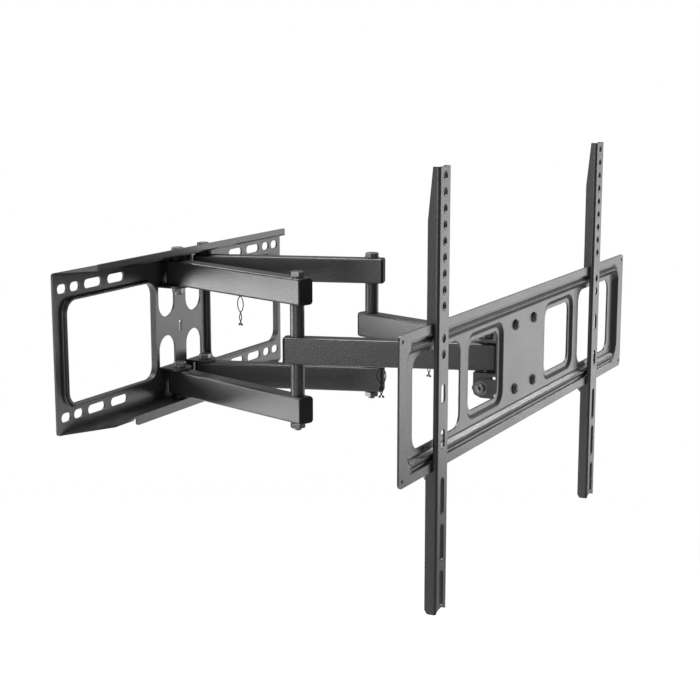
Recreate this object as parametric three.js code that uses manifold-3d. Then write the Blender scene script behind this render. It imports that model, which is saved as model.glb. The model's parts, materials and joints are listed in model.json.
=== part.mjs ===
// Full motion TV wall mount: a wall plate, two parallel folding arms, a tilting head,
// a pressed TV plate and two slotted rails that bolt to the back of a television.
// Millimetres. +X is to the right for someone who faces the wall, +Y goes into the wall, +Z is up.
// The wall touches the plane y = 0, and z = 0 is the middle of the forearms.
import * as THREE from 'three';
import { mergeVertices } from 'three/addons/utils/BufferGeometryUtils.js';
import Module from 'manifold-3d';

const wasm = await Module();
wasm.setup();

// ---------------------------------------------------------------- driving dimensions

const SEAT_GAP = 0.3; // between two pieces that rest on each other
const TURN_GAP = 0.4; // round a shaft that turns, or that was drilled for easily
const LOOP_GAP = 1.2; // round the one bolt where the closed linkage is left open
const OVERRUN = 1; // how far a cutter runs past what it cuts
const ARC_SPARE = 0.01; // short straight that keeps two arcs of a slot apart

// wall plate
const WALL_WIDTH = 488;
const WALL_HEIGHT = 180;
const WALL_SHEET = 2.5;
const WALL_CORNER = 4;
const WINDOW_FROM_CENTRE = 60;
const WINDOW_FROM_END = 16;
const WINDOW_FROM_EDGE = 32;
const WINDOW_RADIUS = 15;
const WINDOW_RIM = 5.5; // how far the rolled rim stands in front of the sheet
const LAG_ROW_FROM_EDGE = 18.5;
const LAG_SLOT_HEIGHT = 10.5;
const LAG_SLOTS = [ // centre from the end of the plate, length
  { fromEnd: 15.5, length: 17 },
  { fromEnd: 38, length: 17 },
  { fromEnd: 71, length: 32 },
  { fromEnd: 114, length: 32 },
];
const PORT_FROM_CENTRE = 29; // the four holes that the pivot tabs are bent out of
const PORT_WIDTH = 34;
const PORT_SPACING = 23; // between an upper and a lower one
const TAB_WIDTH = 32;
const TAB_REACH = 33;
const ARROW_WIDTH = 8.6;
const ARROW_HEIGHT = 15;
const ARROW_SHAFT = 4.3;
const ARROW_DROP = 10; // foot of the arrow below the middle of the plate
const TOP_FLANGE_REACH = 34;
const TOP_FLANGE_TAPER = 41; // how much shorter the front edge is than the plate, at each end
const TOP_LIP_RISE = 7;
const TOP_LIP_CORNER = 1;
const BOTTOM_LIP_REACH = 28.5;
const BOTTOM_LIP_HALF = 132;
const BOTTOM_LIP_DROP = 8.5;
const BOTTOM_LIP_CORNER = 3;
const BOTTOM_WING_REACH = 32;
const BOTTOM_WING_START = 148;
const BOTTOM_WING_TAPER = 32;
const BOTTOM_WING_NOTCH = 5; // width of the step between lip and wing
const BOTTOM_WING_DRAFT = 1; // how much less the wing reaches at its outer end

// arms
const PIVOT_SPACING = 56; // left and right pivots, at the wall and at the head
const SHOULDER_REACH = 19; // from the wall to the shoulder pivots
const LINK_LENGTH = 209;
const OPEN_ANGLE = 17.83; // degrees that each link stands off straight ahead, as the mount is posed
const TUBE_WIDTH = 20;
const TUBE_HEIGHT = 30;
const TUBE_WALL = 2;
const TUBE_RADIUS = 2.5;
const WALL_OVERHANG = 8; // tube past the shoulder pivot
const ELBOW_OVERHANG = 12.5; // tube past the elbow pivot
const HEAD_OVERHANG = 9.5; // tube past the head pivot
const CAP_THICKNESS = 2.3;
const CAP_RADIUS = 4;
const CAP_PLUG = 2.6;
const CAP_PLUG_RADIUS = 1;
const SHOULDER_WASHER = 5.7; // plastic, between tube and flange
const SPACER_RADIUS = 8;

// hexagon bolts and nuts
const BOLT_RADIUS = 4;
const HEX_ACROSS = 13;
const ELBOW_HEX_ACROSS = 15;
const HEX_HEIGHT = 5.3;
const NUT_HEIGHT = 6;
const BOLT_PAST_NUT = 3;

// head and tilt
const EAR_GAP = 2; // washer room between a forearm and an ear of the clevis
const CLEVIS_SHEET = 3;
const CLEVIS_EAR_RADIUS = 12;
const CLEVIS_CORNER = 1;
const TILT_DROP = 33; // tilt axis below the middle of the forearms
const CHEEK_RADIUS = 10.5;
const CHEEK_CLEAR = 1.1; // between a head nut and a cheek of the clevis
const TILT_SCREW_RADIUS = 3;
const TILT_HEAD_RADIUS = 5.2;
const TILT_HEAD_HEIGHT = 3.6;
const TILT_SCREW_LENGTH = 11;
const TILT_SOCKET_RADIUS = 2.4;
const BRACKET_SHEET = 3;
const BRACKET_HALF_HEIGHT = 45;
const BRACKET_CORNER = 3;

// TV plate
const TV_REACH = 39; // from the head pivots to the front of the plate
const TV_RISE = 2; // middle of the plate above the middle of the forearms
const TV_WIDTH = 657;
const TV_HEIGHT = 143;
const TV_SHEET = 2;
const TV_CORNER = 5;
const TV_HOLE_RADIUS = 2.2;
const TV_HOLE_INSET = 6.5;
const TV_END_BORDER = 17;
const TV_EDGE_BORDER = 9;
const TV_GROOVE_WIDTH = 7.5;
const TV_GROOVE_DEPTH = 3;
const TV_GROOVE_FROM_END = 30;
const TV_GROOVE_WALL = 1.5; // height of the steep side, and of the narrow floor
const TV_GROOVE_RIDGE = 0.5; // flat crest between the groove and the recess
const TV_BACK_GROWTH = 1.4; // keeps the sloped walls about as thick as the sheet
const PUNCH_BODY = 0.5; // straight part of a punch, in front of its mouth
const TV_RECESS_DEPTH = 6;
const TV_RECESS_RUN = 5;
const TV_RECESS_RADIUS = 12;
const TV_PANEL_HALF = 62; // plain panel in the middle
const SMALL_RECESS_WIDTH = 96;
const SMALL_RECESS_DEPTH = 3;
const SMALL_RECESS_RUN = 3;
const SMALL_RIM = 8.5; // from the edge of the small recess to its window
const TV_STRUT = 18;
const BIG_WINDOW_FROM_END = 40;
const TV_WINDOW_MARGIN = 5.5; // from the foot of the recess wall to window or small recess
const TV_WINDOW_RADIUS = 14;
const SMALL_WINDOW_RADIUS = 10;
const RIVET_X = 27.3;
const RIVET_Z = 35;
const RIVET_RADIUS = 3;
const RIVET_DOME_RADIUS = 6;
const RIVET_DOME_HEIGHT = 3.4;
const RIVET_TAIL = 2;
const RIVET_TAIL_RADIUS = 4.8;

// rails
const RAIL_LEFT_X = -242;
const RAIL_RIGHT_X = 209;
const RAIL_TOP = 219.5;
const RAIL_LENGTH = 432.5;
const RAIL_WIDTH = 26.5;
const RAIL_SHEET = 2;
const RAIL_BEND = 3;
const RAIL_PROUD = 5; // front of the rail in front of the TV plate
const RAIL_DEPTH = 12;
const RAIL_TOP_DEPTH = 7;
const RAIL_TAPER = 50; // length over which the flange grows to its full depth
const RAIL_ARCH = 4; // the front face stops short of the flanges at the bottom
const RAIL_TOE = 3; // rounding of the flanges' lower corners
const RAIL_HOOK = 6.5;
const RAIL_FIT = 0.4;
const RAIL_HOLE_RADIUS = 4.4;
const RAIL_HOLE_FIRST = 8.6; // from the top of the rail
const RAIL_HOLE_PITCH = 15.3;
const RAIL_HOLE_CLEAR = 8; // no hole this close to the top edge of the TV plate
const RAIL_HOLE_MARGIN = 10; // between the last hole and the first slot
const RAIL_SLOTS = [ // centre from the bottom of the rail, length
  { fromBottom: 24.4, length: 38 },
  { fromBottom: 70.9, length: 38 },
  { fromBottom: 116.9, length: 38 },
  { fromBottom: 173.4, length: 19.4 },
  { fromBottom: 217.6, length: 19.4 },
];

// lock screws, at 45 degrees under the bottom edge of the TV plate
const LOCK_RADIUS = 2.5;
const LOCK_LENGTH = 11;
const LOCK_HEAD_RADIUS = 4.5;
const LOCK_HEAD_HEIGHT = 3.5;
const LOCK_TAB_WIDTH = 9;
const LOCK_TAB_FROM_TIP = 6;
const LOCK_TAB_SHIFT = 1.5; // middle of the tab from the screw's axis
const LOCK_TIP_BEHIND = 1.8; // tip of the screw behind the front of the TV plate
const LOCK_TIP_BELOW = 1.1; // and below its bottom edge

// cable clips
const CLIP_WIRE = 0.7;
const CLIP_LOOP_WIDTH = 10;
const CLIP_LOOP_HEIGHT = 20;
const CLIP_TAIL_WIDTH = 4;
const CLIP_TAIL_HEIGHT = 10.5;
const CLIP_BALL = 1.5;
const CLIP_FOOT = 1.6;
const CLIP_ON_LINK = 0.543; // how far along the link it hangs
const CLIP_ON_FOREARM = 0.45;

// how finely round shapes are cut
const ARC_STEPS = 2; // half the flats in a quarter turn
const SMALL_ARC_STEPS = 1;
const HOLE_SIDES = 16;
const WIRE_STEPS = 22;
const WIRE_ARC_STEPS = 3;

// ---------------------------------------------------------------- derived places

const wallHalf = WALL_WIDTH / 2;
const wallTop = WALL_HEIGHT / 2;
const openAngle = THREE.MathUtils.degToRad(OPEN_ANGLE);
const pivotHalf = PIVOT_SPACING / 2;
const forearmTop = TUBE_HEIGHT / 2;
const linkTop = wallTop - WALL_SHEET - SHOULDER_WASHER - SEAT_GAP;
const linkBottom = linkTop - TUBE_HEIGHT;
const linkMiddle = (linkTop + linkBottom) / 2;
const tabTop = linkBottom - SEAT_GAP;
const tabBottom = tabTop - WALL_SHEET;
const hexRadius = HEX_ACROSS / Math.sqrt(3);
const boltHole = BOLT_RADIUS + TURN_GAP;
const earTop = forearmTop + EAR_GAP + CLEVIS_SHEET;
// The web clears the corners of the forearms' caps as they turn, and the cheeks clear the nuts.
const capCorner = Math.hypot(HEAD_OVERHANG + SEAT_GAP + CAP_THICKNESS, TUBE_WIDTH / 2);
const webReach = capCorner + TURN_GAP + CLEVIS_SHEET; // from the head pivots to the clevis's front
const cheekReach = pivotHalf + hexRadius + CHEEK_CLEAR + CLEVIS_SHEET; // outside of a cheek
const tvHalf = TV_WIDTH / 2;
const tvTop = TV_HEIGHT / 2;
const tvWebFront = TV_RECESS_DEPTH; // measured back from the front of the TV plate
const tvWebBack = tvWebFront + TV_SHEET;
const recessHalfWidth = tvHalf - TV_END_BORDER - TV_RECESS_RUN;
const recessHalfHeight = tvTop - TV_EDGE_BORDER - TV_GROOVE_WIDTH - TV_RECESS_RUN;
const smallRecessHalfHeight = recessHalfHeight - TV_WINDOW_MARGIN;
const railBottom = RAIL_TOP - RAIL_LENGTH;

// ---------------------------------------------------------------- materials

function finish(color, roughness, metalness) {
  return () => new THREE.MeshStandardMaterial({ color, roughness, metalness });
}
const powderCoat = finish(0x3a3b3d, 0.55, 0.2);
const blackPlastic = finish(0x1c1c1e, 0.6, 0);
const blackSteel = finish(0x2c2d2f, 0.4, 0.7);

// ---------------------------------------------------------------- solids

function toSolid(geometry) {
  geometry.deleteAttribute('normal');
  geometry.deleteAttribute('uv');
  const merged = mergeVertices(geometry, 1e-4);
  const vertProperties = new Float32Array(merged.attributes.position.array);
  const triVerts = new Uint32Array(merged.index.array);
  return new wasm.Manifold(new wasm.Mesh({ numProp: 3, vertProperties, triVerts }));
}

function toGeometry(solid) {
  const mesh = solid.getMesh();
  const geometry = new THREE.BufferGeometry();
  geometry.setAttribute('position', new THREE.BufferAttribute(mesh.vertProperties, 3));
  geometry.setIndex(new THREE.BufferAttribute(mesh.triVerts, 1));
  geometry.computeVertexNormals();
  return geometry;
}

function union(solids) {
  return solids.reduce((sum, solid) => sum.add(solid));
}

function cut(solid, tools) {
  return tools.reduce((rest, tool) => rest.subtract(tool), solid);
}

function piece(name, solid, material) {
  const mesh = new THREE.Mesh(toGeometry(solid), material());
  mesh.name = name;
  return mesh;
}

// A flat outline given thickness along one axis, between two places on that axis.
const layouts = {
  // outline in x and y, thickness along z
  z: (from) => new THREE.Matrix4().makeTranslation(0, 0, from),
  // outline in x and z, thickness along y
  y: (from, to) => new THREE.Matrix4()
    .makeBasis(new THREE.Vector3(1, 0, 0), new THREE.Vector3(0, 0, 1), new THREE.Vector3(0, -1, 0))
    .setPosition(0, to, 0),
  // outline in y and z, thickness along x
  x: (from) => new THREE.Matrix4()
    .makeBasis(new THREE.Vector3(0, 1, 0), new THREE.Vector3(0, 0, 1), new THREE.Vector3(1, 0, 0))
    .setPosition(from, 0, 0),
};

function slab(axis, outline, from, to, curveSegments = ARC_STEPS) {
  const options = { depth: to - from, bevelEnabled: false, curveSegments };
  const geometry = new THREE.ExtrudeGeometry(outline, options);
  return toSolid(geometry.applyMatrix4(layouts[axis](from, to)));
}

function roundedRect(cx, cy, width, height, radius) {
  const x = width / 2 - radius;
  const y = height / 2 - radius;
  const shape = new THREE.Shape();
  shape.absarc(cx + x, cy + y, radius, 0, Math.PI / 2);
  shape.absarc(cx - x, cy + y, radius, Math.PI / 2, Math.PI);
  shape.absarc(cx - x, cy - y, radius, Math.PI, 1.5 * Math.PI);
  shape.absarc(cx + x, cy - y, radius, 1.5 * Math.PI, 2 * Math.PI);
  shape.closePath();
  return shape;
}

function slot(cx, cy, width, height) {
  return roundedRect(cx, cy, width, height, Math.min(width, height) / 2 - ARC_SPARE);
}

function polygon(points) {
  return new THREE.Shape(points.map(([x, y]) => new THREE.Vector2(x, y)));
}

function withHoles(outline, holes) {
  outline.holes.push(...holes);
  return outline;
}

function rod(radius, from, to, sides = HOLE_SIDES) {
  const geometry = new THREE.CylinderGeometry(radius, radius, to - from, sides);
  return toSolid(geometry.rotateX(Math.PI / 2).translate(0, 0, (from + to) / 2));
}

// Two of the flats face the wall and the room.
function hexPrism(across, from, to) {
  return rod(across / Math.sqrt(3), from, to, 6).rotate([0, 0, 30]);
}

// ---------------------------------------------------------------- bolts and nuts

// A bolt along z: its head sits on seatZ, pointing away from tipZ.
function hexBolt(name, seatZ, tipZ, across = HEX_ACROSS) {
  const headEnd = seatZ + Math.sign(seatZ - tipZ) * HEX_HEIGHT;
  const head = hexPrism(across, Math.min(seatZ, headEnd), Math.max(seatZ, headEnd));
  const shank = rod(BOLT_RADIUS, Math.min(headEnd, tipZ), Math.max(headEnd, tipZ));
  return piece(name, head.add(shank), blackSteel);
}

function hexNut(name, from, across = HEX_ACROSS) {
  const nut = hexPrism(across, from, from + NUT_HEIGHT);
  const bore = rod(BOLT_RADIUS + SEAT_GAP, from - OVERRUN, from + NUT_HEIGHT + OVERRUN);
  return piece(name, nut.subtract(bore), blackSteel);
}

function ring(name, outerRadius, innerRadius, from, to, material) {
  const body = rod(outerRadius, from, to);
  const bore = rod(innerRadius, from - OVERRUN, to + OVERRUN);
  return piece(name, body.subtract(bore), material);
}

// ---------------------------------------------------------------- wall plate

function windowOutlines(grow) {
  const width = wallHalf - WINDOW_FROM_END - WINDOW_FROM_CENTRE;
  const height = WALL_HEIGHT - 2 * WINDOW_FROM_EDGE;
  const middle = WINDOW_FROM_CENTRE + width / 2;
  return [-middle, middle].map((x) => (
    roundedRect(x, 0, width + 2 * grow, height + 2 * grow, WINDOW_RADIUS + grow)));
}

function lagSlots() {
  const rowZ = wallTop - LAG_ROW_FROM_EDGE;
  return [-1, 1].flatMap((side) => [-rowZ, rowZ].flatMap((z) => LAG_SLOTS.map(
    ({ fromEnd, length }) => slot(side * (wallHalf - fromEnd), z, length, LAG_SLOT_HEIGHT))));
}

// Round towards the middle of the plate, and straight along the bend of the tab.
function port(side, row) {
  const half = PORT_WIDTH / 2;
  const x = side * PORT_FROM_CENTRE;
  const arcZ = row * (PORT_SPACING / 2 + half);
  const shape = new THREE.Shape();
  shape.moveTo(x - half, row * tabBottom);
  const turn = row * Math.PI / 2;
  shape.absarc(x, arcZ, half, Math.PI, Math.PI + turn, row < 0);
  shape.absarc(x, arcZ, half, Math.PI + turn, Math.PI + 2 * turn, row < 0);
  shape.lineTo(x + half, row * tabBottom);
  return shape;
}

function ports() {
  return [-1, 1].flatMap((side) => [-1, 1].map((row) => port(side, row)));
}

// A tab bent forward out of a port, which holds the far end of a shoulder bolt.
function pivotTab(side, row) {
  const half = TAB_WIDTH / 2;
  const x = side * PORT_FROM_CENTRE;
  const shape = new THREE.Shape();
  shape.moveTo(x + half, 0);
  shape.lineTo(x - half, 0);
  shape.absarc(x, half - TAB_REACH, half, Math.PI, 1.5 * Math.PI);
  shape.absarc(x, half - TAB_REACH, half, 1.5 * Math.PI, 2 * Math.PI);
  return slab('z', shape, Math.min(row * tabTop, row * tabBottom),
    Math.max(row * tabTop, row * tabBottom));
}

function arrow() {
  const foot = -ARROW_DROP;
  const neck = foot + ARROW_HEIGHT - ARROW_WIDTH / 2;
  const shaft = ARROW_SHAFT / 2;
  const barb = ARROW_WIDTH / 2;
  return polygon([[-shaft, foot], [shaft, foot], [shaft, neck], [barb, neck],
    [0, foot + ARROW_HEIGHT], [-barb, neck], [-shaft, neck]]);
}

// Mirrors the right half of an outline, listed from the wall to the middle.
function mirrored(points) {
  return polygon([...points, ...points.map(([x, y]) => [-x, y]).reverse()]);
}

function topFlange() {
  const outline = mirrored([[wallHalf, 0], [wallHalf, -WALL_SHEET],
    [wallHalf - TOP_FLANGE_TAPER, -TOP_FLANGE_REACH]]);
  const lip = roundedRect(0, wallTop + (TOP_LIP_RISE - WALL_SHEET) / 2,
    2 * (wallHalf - TOP_FLANGE_TAPER), TOP_LIP_RISE + WALL_SHEET, TOP_LIP_CORNER);
  return slab('z', outline, wallTop - WALL_SHEET, wallTop)
    .add(slab('y', lip, -TOP_FLANGE_REACH, WALL_SHEET - TOP_FLANGE_REACH));
}

function bottomFlange() {
  const outline = mirrored([[wallHalf, 0], [wallHalf - WALL_SHEET, -WALL_SHEET],
    [wallHalf - BOTTOM_WING_TAPER, BOTTOM_WING_DRAFT - BOTTOM_WING_REACH],
    [BOTTOM_WING_START, -BOTTOM_WING_REACH],
    [BOTTOM_WING_START - BOTTOM_WING_NOTCH, -BOTTOM_LIP_REACH],
    [BOTTOM_LIP_HALF, -BOTTOM_LIP_REACH]]);
  const lip = roundedRect(0, (WALL_SHEET - BOTTOM_LIP_DROP) / 2 - wallTop, 2 * BOTTOM_LIP_HALF,
    BOTTOM_LIP_DROP + WALL_SHEET, BOTTOM_LIP_CORNER);
  return slab('z', outline, -wallTop, WALL_SHEET - wallTop)
    .add(slab('y', lip, -BOTTOM_LIP_REACH, WALL_SHEET - BOTTOM_LIP_REACH));
}

function wallPlate() {
  const face = withHoles(roundedRect(0, 0, WALL_WIDTH, WALL_HEIGHT, WALL_CORNER),
    [...windowOutlines(0), ...lagSlots(), ...ports(), arrow()]);
  const inner = windowOutlines(0);
  const rims = windowOutlines(WALL_SHEET).map((outline, i) => (
    slab('y', withHoles(outline, [inner[i]]), -WALL_SHEET - WINDOW_RIM, 0)));
  const tabs = [-1, 1].flatMap((side) => [-1, 1].map((row) => pivotTab(side, row)));
  const sheet = union([slab('y', face, -WALL_SHEET, 0), ...rims, topFlange(), bottomFlange(),
    ...tabs]);
  const drills = [-pivotHalf, pivotHalf].map((x) => (
    rod(boltHole, -2 * wallTop, 2 * wallTop).translate([x, -SHOULDER_REACH, 0])));
  return piece('wall_plate', cut(sheet, drills), powderCoat);
}

function shoulder(sideName, side) {
  const group = new THREE.Group();
  group.position.set(side * pivotHalf, -SHOULDER_REACH, 0);
  const upperNut = tabBottom - SEAT_GAP - NUT_HEIGHT;
  const lowerNut = -wallTop - SEAT_GAP - NUT_HEIGHT;
  const washerFrom = linkTop + SEAT_GAP;
  const washerTo = wallTop - WALL_SHEET - SEAT_GAP;
  const washerRadius = TUBE_WIDTH / 2;
  group.add(
    hexBolt(`shoulder_bolt_upper_${sideName}`, wallTop + SEAT_GAP, upperNut - BOLT_PAST_NUT),
    hexNut(`shoulder_nut_upper_${sideName}`, upperNut),
    ring(`shoulder_washer_upper_${sideName}`, washerRadius, boltHole, washerFrom, washerTo,
      blackPlastic),
    hexBolt(`shoulder_bolt_lower_${sideName}`, SEAT_GAP - tabBottom, lowerNut - BOLT_PAST_NUT),
    hexNut(`shoulder_nut_lower_${sideName}`, lowerNut),
    ring(`shoulder_washer_lower_${sideName}`, washerRadius, boltHole, -washerTo, -washerFrom,
      blackPlastic),
  );
  return group;
}

// ---------------------------------------------------------------- arms

// A tube that runs along -y from its first pivot, at y = 0, to its second, at y = -LINK_LENGTH.
function tube(name, middleZ, firstOverhang, secondOverhang, holes) {
  const outer = roundedRect(0, middleZ, TUBE_WIDTH, TUBE_HEIGHT, TUBE_RADIUS);
  const inner = roundedRect(0, middleZ, TUBE_WIDTH - 2 * TUBE_WALL, TUBE_HEIGHT - 2 * TUBE_WALL,
    TUBE_RADIUS - TUBE_WALL);
  const body = slab('y', withHoles(outer, [inner]), -LINK_LENGTH - secondOverhang, firstOverhang,
    SMALL_ARC_STEPS);
  const drills = holes.map((radius, i) => (
    rod(radius, middleZ - TUBE_HEIGHT, middleZ + TUBE_HEIGHT).translate([0, -i * LINK_LENGTH, 0])));
  return piece(name, cut(body, drills), powderCoat);
}

// A cover over the open end of a tube, with a short plug inside it.
function cap(name, middleZ, endY, outward) {
  const cover = roundedRect(0, middleZ, TUBE_WIDTH, TUBE_HEIGHT, CAP_RADIUS);
  const hollowWidth = TUBE_WIDTH - 2 * TUBE_WALL - 2 * SEAT_GAP;
  const hollowHeight = TUBE_HEIGHT - 2 * TUBE_WALL - 2 * SEAT_GAP;
  const plug = roundedRect(0, middleZ, hollowWidth, hollowHeight, CAP_PLUG_RADIUS);
  const near = endY + outward * SEAT_GAP;
  const far = near + outward * CAP_THICKNESS;
  const inside = endY - outward * CAP_PLUG;
  const solid = slab('y', cover, Math.min(near, far), Math.max(near, far), SMALL_ARC_STEPS)
    .add(slab('y', plug, Math.min(inside, far), Math.max(inside, far) - SEAT_GAP, SMALL_ARC_STEPS));
  return piece(name, solid, blackPlastic);
}

function linkTube(level, sideName, middleZ) {
  const group = new THREE.Group();
  group.add(
    tube(`link_${level}_${sideName}`, middleZ, WALL_OVERHANG, ELBOW_OVERHANG, [boltHole, boltHole]),
    cap(`cap_wall_${level}_${sideName}`, middleZ, WALL_OVERHANG, 1),
    cap(`cap_elbow_${level}_${sideName}`, middleZ, -LINK_LENGTH - ELBOW_OVERHANG, -1),
  );
  return group;
}

// The bolt of an elbow and the spacer tubes that hold the three arms of that side apart.
function elbow(sideName) {
  const group = new THREE.Group();
  group.position.y = -LINK_LENGTH;
  const nut = -linkTop - SEAT_GAP - NUT_HEIGHT;
  const spacerFrom = forearmTop + SEAT_GAP;
  const spacerTo = linkBottom - SEAT_GAP;
  group.add(
    hexBolt(`elbow_bolt_${sideName}`, linkTop + SEAT_GAP, nut - BOLT_PAST_NUT, ELBOW_HEX_ACROSS),
    hexNut(`elbow_nut_${sideName}`, nut, ELBOW_HEX_ACROSS),
    ring(`elbow_spacer_upper_${sideName}`, SPACER_RADIUS, boltHole, spacerFrom, spacerTo, powderCoat),
    ring(`elbow_spacer_lower_${sideName}`, SPACER_RADIUS, boltHole, -spacerTo, -spacerFrom, powderCoat),
  );
  return group;
}

function forearm(sideName, side, headHole) {
  const group = new THREE.Group();
  group.position.y = -LINK_LENGTH;
  group.rotation.z = -2 * side * openAngle;
  group.add(
    tube(`forearm_${sideName}`, 0, ELBOW_OVERHANG, HEAD_OVERHANG, [boltHole, headHole]),
    cap(`cap_forearm_elbow_${sideName}`, 0, ELBOW_OVERHANG, 1),
    cap(`cap_forearm_head_${sideName}`, 0, -LINK_LENGTH - HEAD_OVERHANG, -1),
    cableClip(`cable_clip_forearm_${sideName}`, -forearmTop, -CLIP_ON_FOREARM * LINK_LENGTH),
  );
  return group;
}

function arm(sideName, side, headHole) {
  const group = new THREE.Group();
  group.position.set(side * pivotHalf, -SHOULDER_REACH, 0);
  group.rotation.z = side * openAngle;
  const fore = forearm(sideName, side, headHole);
  group.add(linkTube('upper', sideName, linkMiddle), linkTube('lower', sideName, -linkMiddle),
    elbow(sideName), fore);
  return { group, fore };
}

// ---------------------------------------------------------------- cable clips

// One leg of the springy wire: a wide half loop, a crossing, a narrow half loop and a ball.
function clipLeg(side) {
  const wide = CLIP_LOOP_WIDTH / 2;
  const narrow = CLIP_TAIL_WIDTH / 2;
  const crossing = -CLIP_LOOP_HEIGHT;
  const second = crossing - CLIP_TAIL_HEIGHT;
  const ball = second - 2 * CLIP_BALL;
  const route = new THREE.CatmullRomCurve3([
    [0, 0], [0.8 * wide, 0.25 * crossing], [wide, 0.5 * crossing], [0.7 * wide, 0.8 * crossing],
    [0, crossing], [-narrow, crossing - CLIP_TAIL_HEIGHT / 2], [0, second], [narrow, ball],
  ].map(([x, z]) => new THREE.Vector3(0, side * x, z)));
  const section = new THREE.Shape().absarc(0, 0, CLIP_WIRE, 0, 2 * Math.PI);
  const wire = new THREE.ExtrudeGeometry(section, {
    steps: WIRE_STEPS, extrudePath: route, curveSegments: WIRE_ARC_STEPS });
  const end = new THREE.SphereGeometry(CLIP_BALL, 8, 6).translate(0, side * narrow, ball);
  return toSolid(wire).add(toSolid(end));
}

function cableClip(name, undersideZ, y) {
  const foot = rod(CLIP_BALL + 1, -CLIP_FOOT, 0, 8);
  const solid = union([foot, clipLeg(1), clipLeg(-1)]);
  const mesh = piece(name, solid, blackPlastic);
  mesh.position.set(0, y, undersideZ - SEAT_GAP - CLIP_WIRE);
  return mesh;
}

// ---------------------------------------------------------------- head

// Bent sheet: two ears over and under the forearms, a web in front, and two hanging cheeks.
function headClevis() {
  const halfWidth = cheekReach;
  const ear = polygon([[-halfWidth, -webReach], [halfWidth, -webReach],
    [halfWidth, 0], [pivotHalf + CLEVIS_EAR_RADIUS / 2, CLEVIS_EAR_RADIUS],
    [-pivotHalf - CLEVIS_EAR_RADIUS / 2, CLEVIS_EAR_RADIUS], [-halfWidth, 0]]);
  const web = roundedRect(0, 0, 2 * halfWidth, 2 * earTop, CLEVIS_CORNER);
  const cheek = new THREE.Shape();
  cheek.moveTo(CHEEK_RADIUS, -earTop + CLEVIS_SHEET);
  cheek.lineTo(-CHEEK_RADIUS, -earTop + CLEVIS_SHEET);
  cheek.absarc(0, -TILT_DROP, CHEEK_RADIUS, Math.PI, 2 * Math.PI);
  const cheeks = [-halfWidth, halfWidth - CLEVIS_SHEET].map((x) => (
    slab('x', cheek, x, x + CLEVIS_SHEET)));
  const body = union([slab('z', ear, earTop - CLEVIS_SHEET, earTop),
    slab('z', ear, -earTop, CLEVIS_SHEET - earTop),
    slab('y', web, -webReach, CLEVIS_SHEET - webReach), ...cheeks]);
  const drills = [-pivotHalf, pivotHalf].map((x) => (
    rod(boltHole, -2 * earTop, 2 * earTop).translate([x, 0, 0])));
  const tiltDrill = rod(TILT_SCREW_RADIUS + TURN_GAP, -2 * halfWidth, 2 * halfWidth)
    .rotate([0, 90, 0]).translate([0, 0, -TILT_DROP]);
  return piece('head_clevis', cut(body, [...drills, tiltDrill]), powderCoat);
}

function headBolt(sideName, side) {
  const group = new THREE.Group();
  group.position.x = side * pivotHalf;
  const nut = -earTop - SEAT_GAP - NUT_HEIGHT;
  group.add(
    hexBolt(`head_bolt_${sideName}`, earTop + SEAT_GAP, nut - BOLT_PAST_NUT / 2),
    hexNut(`head_nut_${sideName}`, nut),
  );
  return group;
}

function tiltScrew(sideName, side) {
  const seat = cheekReach + BRACKET_SHEET + 2 * SEAT_GAP;
  const head = rod(TILT_HEAD_RADIUS, seat, seat + TILT_HEAD_HEIGHT);
  const socket = rod(TILT_SOCKET_RADIUS, seat + TILT_HEAD_HEIGHT / 2, seat + 2 * TILT_HEAD_HEIGHT, 6);
  const shank = rod(TILT_SCREW_RADIUS, seat - TILT_SCREW_LENGTH, seat + OVERRUN);
  const solid = head.subtract(socket).add(shank).rotate([0, side * 90, 0]);
  const mesh = piece(`tilt_screw_${sideName}`, solid, blackSteel);
  mesh.position.z = -TILT_DROP;
  return mesh;
}

// Bent sheet riveted behind the TV plate, with one ear outside each cheek of the clevis.
function tiltBracket() {
  const halfWidth = cheekReach + SEAT_GAP + BRACKET_SHEET;
  const front = -TV_REACH + tvWebBack + SEAT_GAP;
  const web = slab('y', roundedRect(0, TILT_DROP, 2 * halfWidth, 2 * BRACKET_HALF_HEIGHT, BRACKET_CORNER),
    front, front + BRACKET_SHEET);
  const ear = new THREE.Shape();
  ear.moveTo(front, CHEEK_RADIUS);
  ear.lineTo(front, -CHEEK_RADIUS);
  ear.absarc(0, 0, CHEEK_RADIUS, -Math.PI / 2, Math.PI / 2);
  const ears = [-halfWidth, halfWidth - BRACKET_SHEET].map((x) => (
    slab('x', ear, x, x + BRACKET_SHEET)));
  const tiltDrill = rod(TILT_SCREW_RADIUS + TURN_GAP, -2 * halfWidth, 2 * halfWidth).rotate([0, 90, 0]);
  const rivetDrills = rivetPlaces().map(({ x, z }) => (
    rod(RIVET_RADIUS + SEAT_GAP, front - OVERRUN, front + BRACKET_SHEET + OVERRUN)
      .rotate([-90, 0, 0]).translate([x, 0, z])));
  return piece('tilt_bracket', cut(union([web, ...ears]), [tiltDrill, ...rivetDrills]), powderCoat);
}

// ---------------------------------------------------------------- TV plate
// Everything from here on is measured from the tilt axis.

const tvFront = -TV_REACH;
const tvMiddle = TILT_DROP + TV_RISE;

function rivetPlaces() {
  return [-1, 1].flatMap((side) => [-1, 1].map((row) => (
    { side, row, x: side * RIVET_X, z: tvMiddle + row * RIVET_Z })));
}

// A pressed hollow: the outline is its floor, and its walls slope outwards to the mouth.
function pressing(cx, width, height, radius, mouthY, depth, run, grow) {
  const floor = roundedRect(cx, tvMiddle, width + 2 * grow, height + 2 * grow, radius + grow);
  const geometry = new THREE.ExtrudeGeometry(floor, {
    depth: PUNCH_BODY, bevelThickness: depth, bevelSize: run, bevelSegments: 1,
    curveSegments: ARC_STEPS });
  return toSolid(geometry.applyMatrix4(layouts.y(0, mouthY)));
}

function smallWindowMiddle() {
  return TV_PANEL_HALF + SMALL_RECESS_WIDTH / 2;
}

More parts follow.
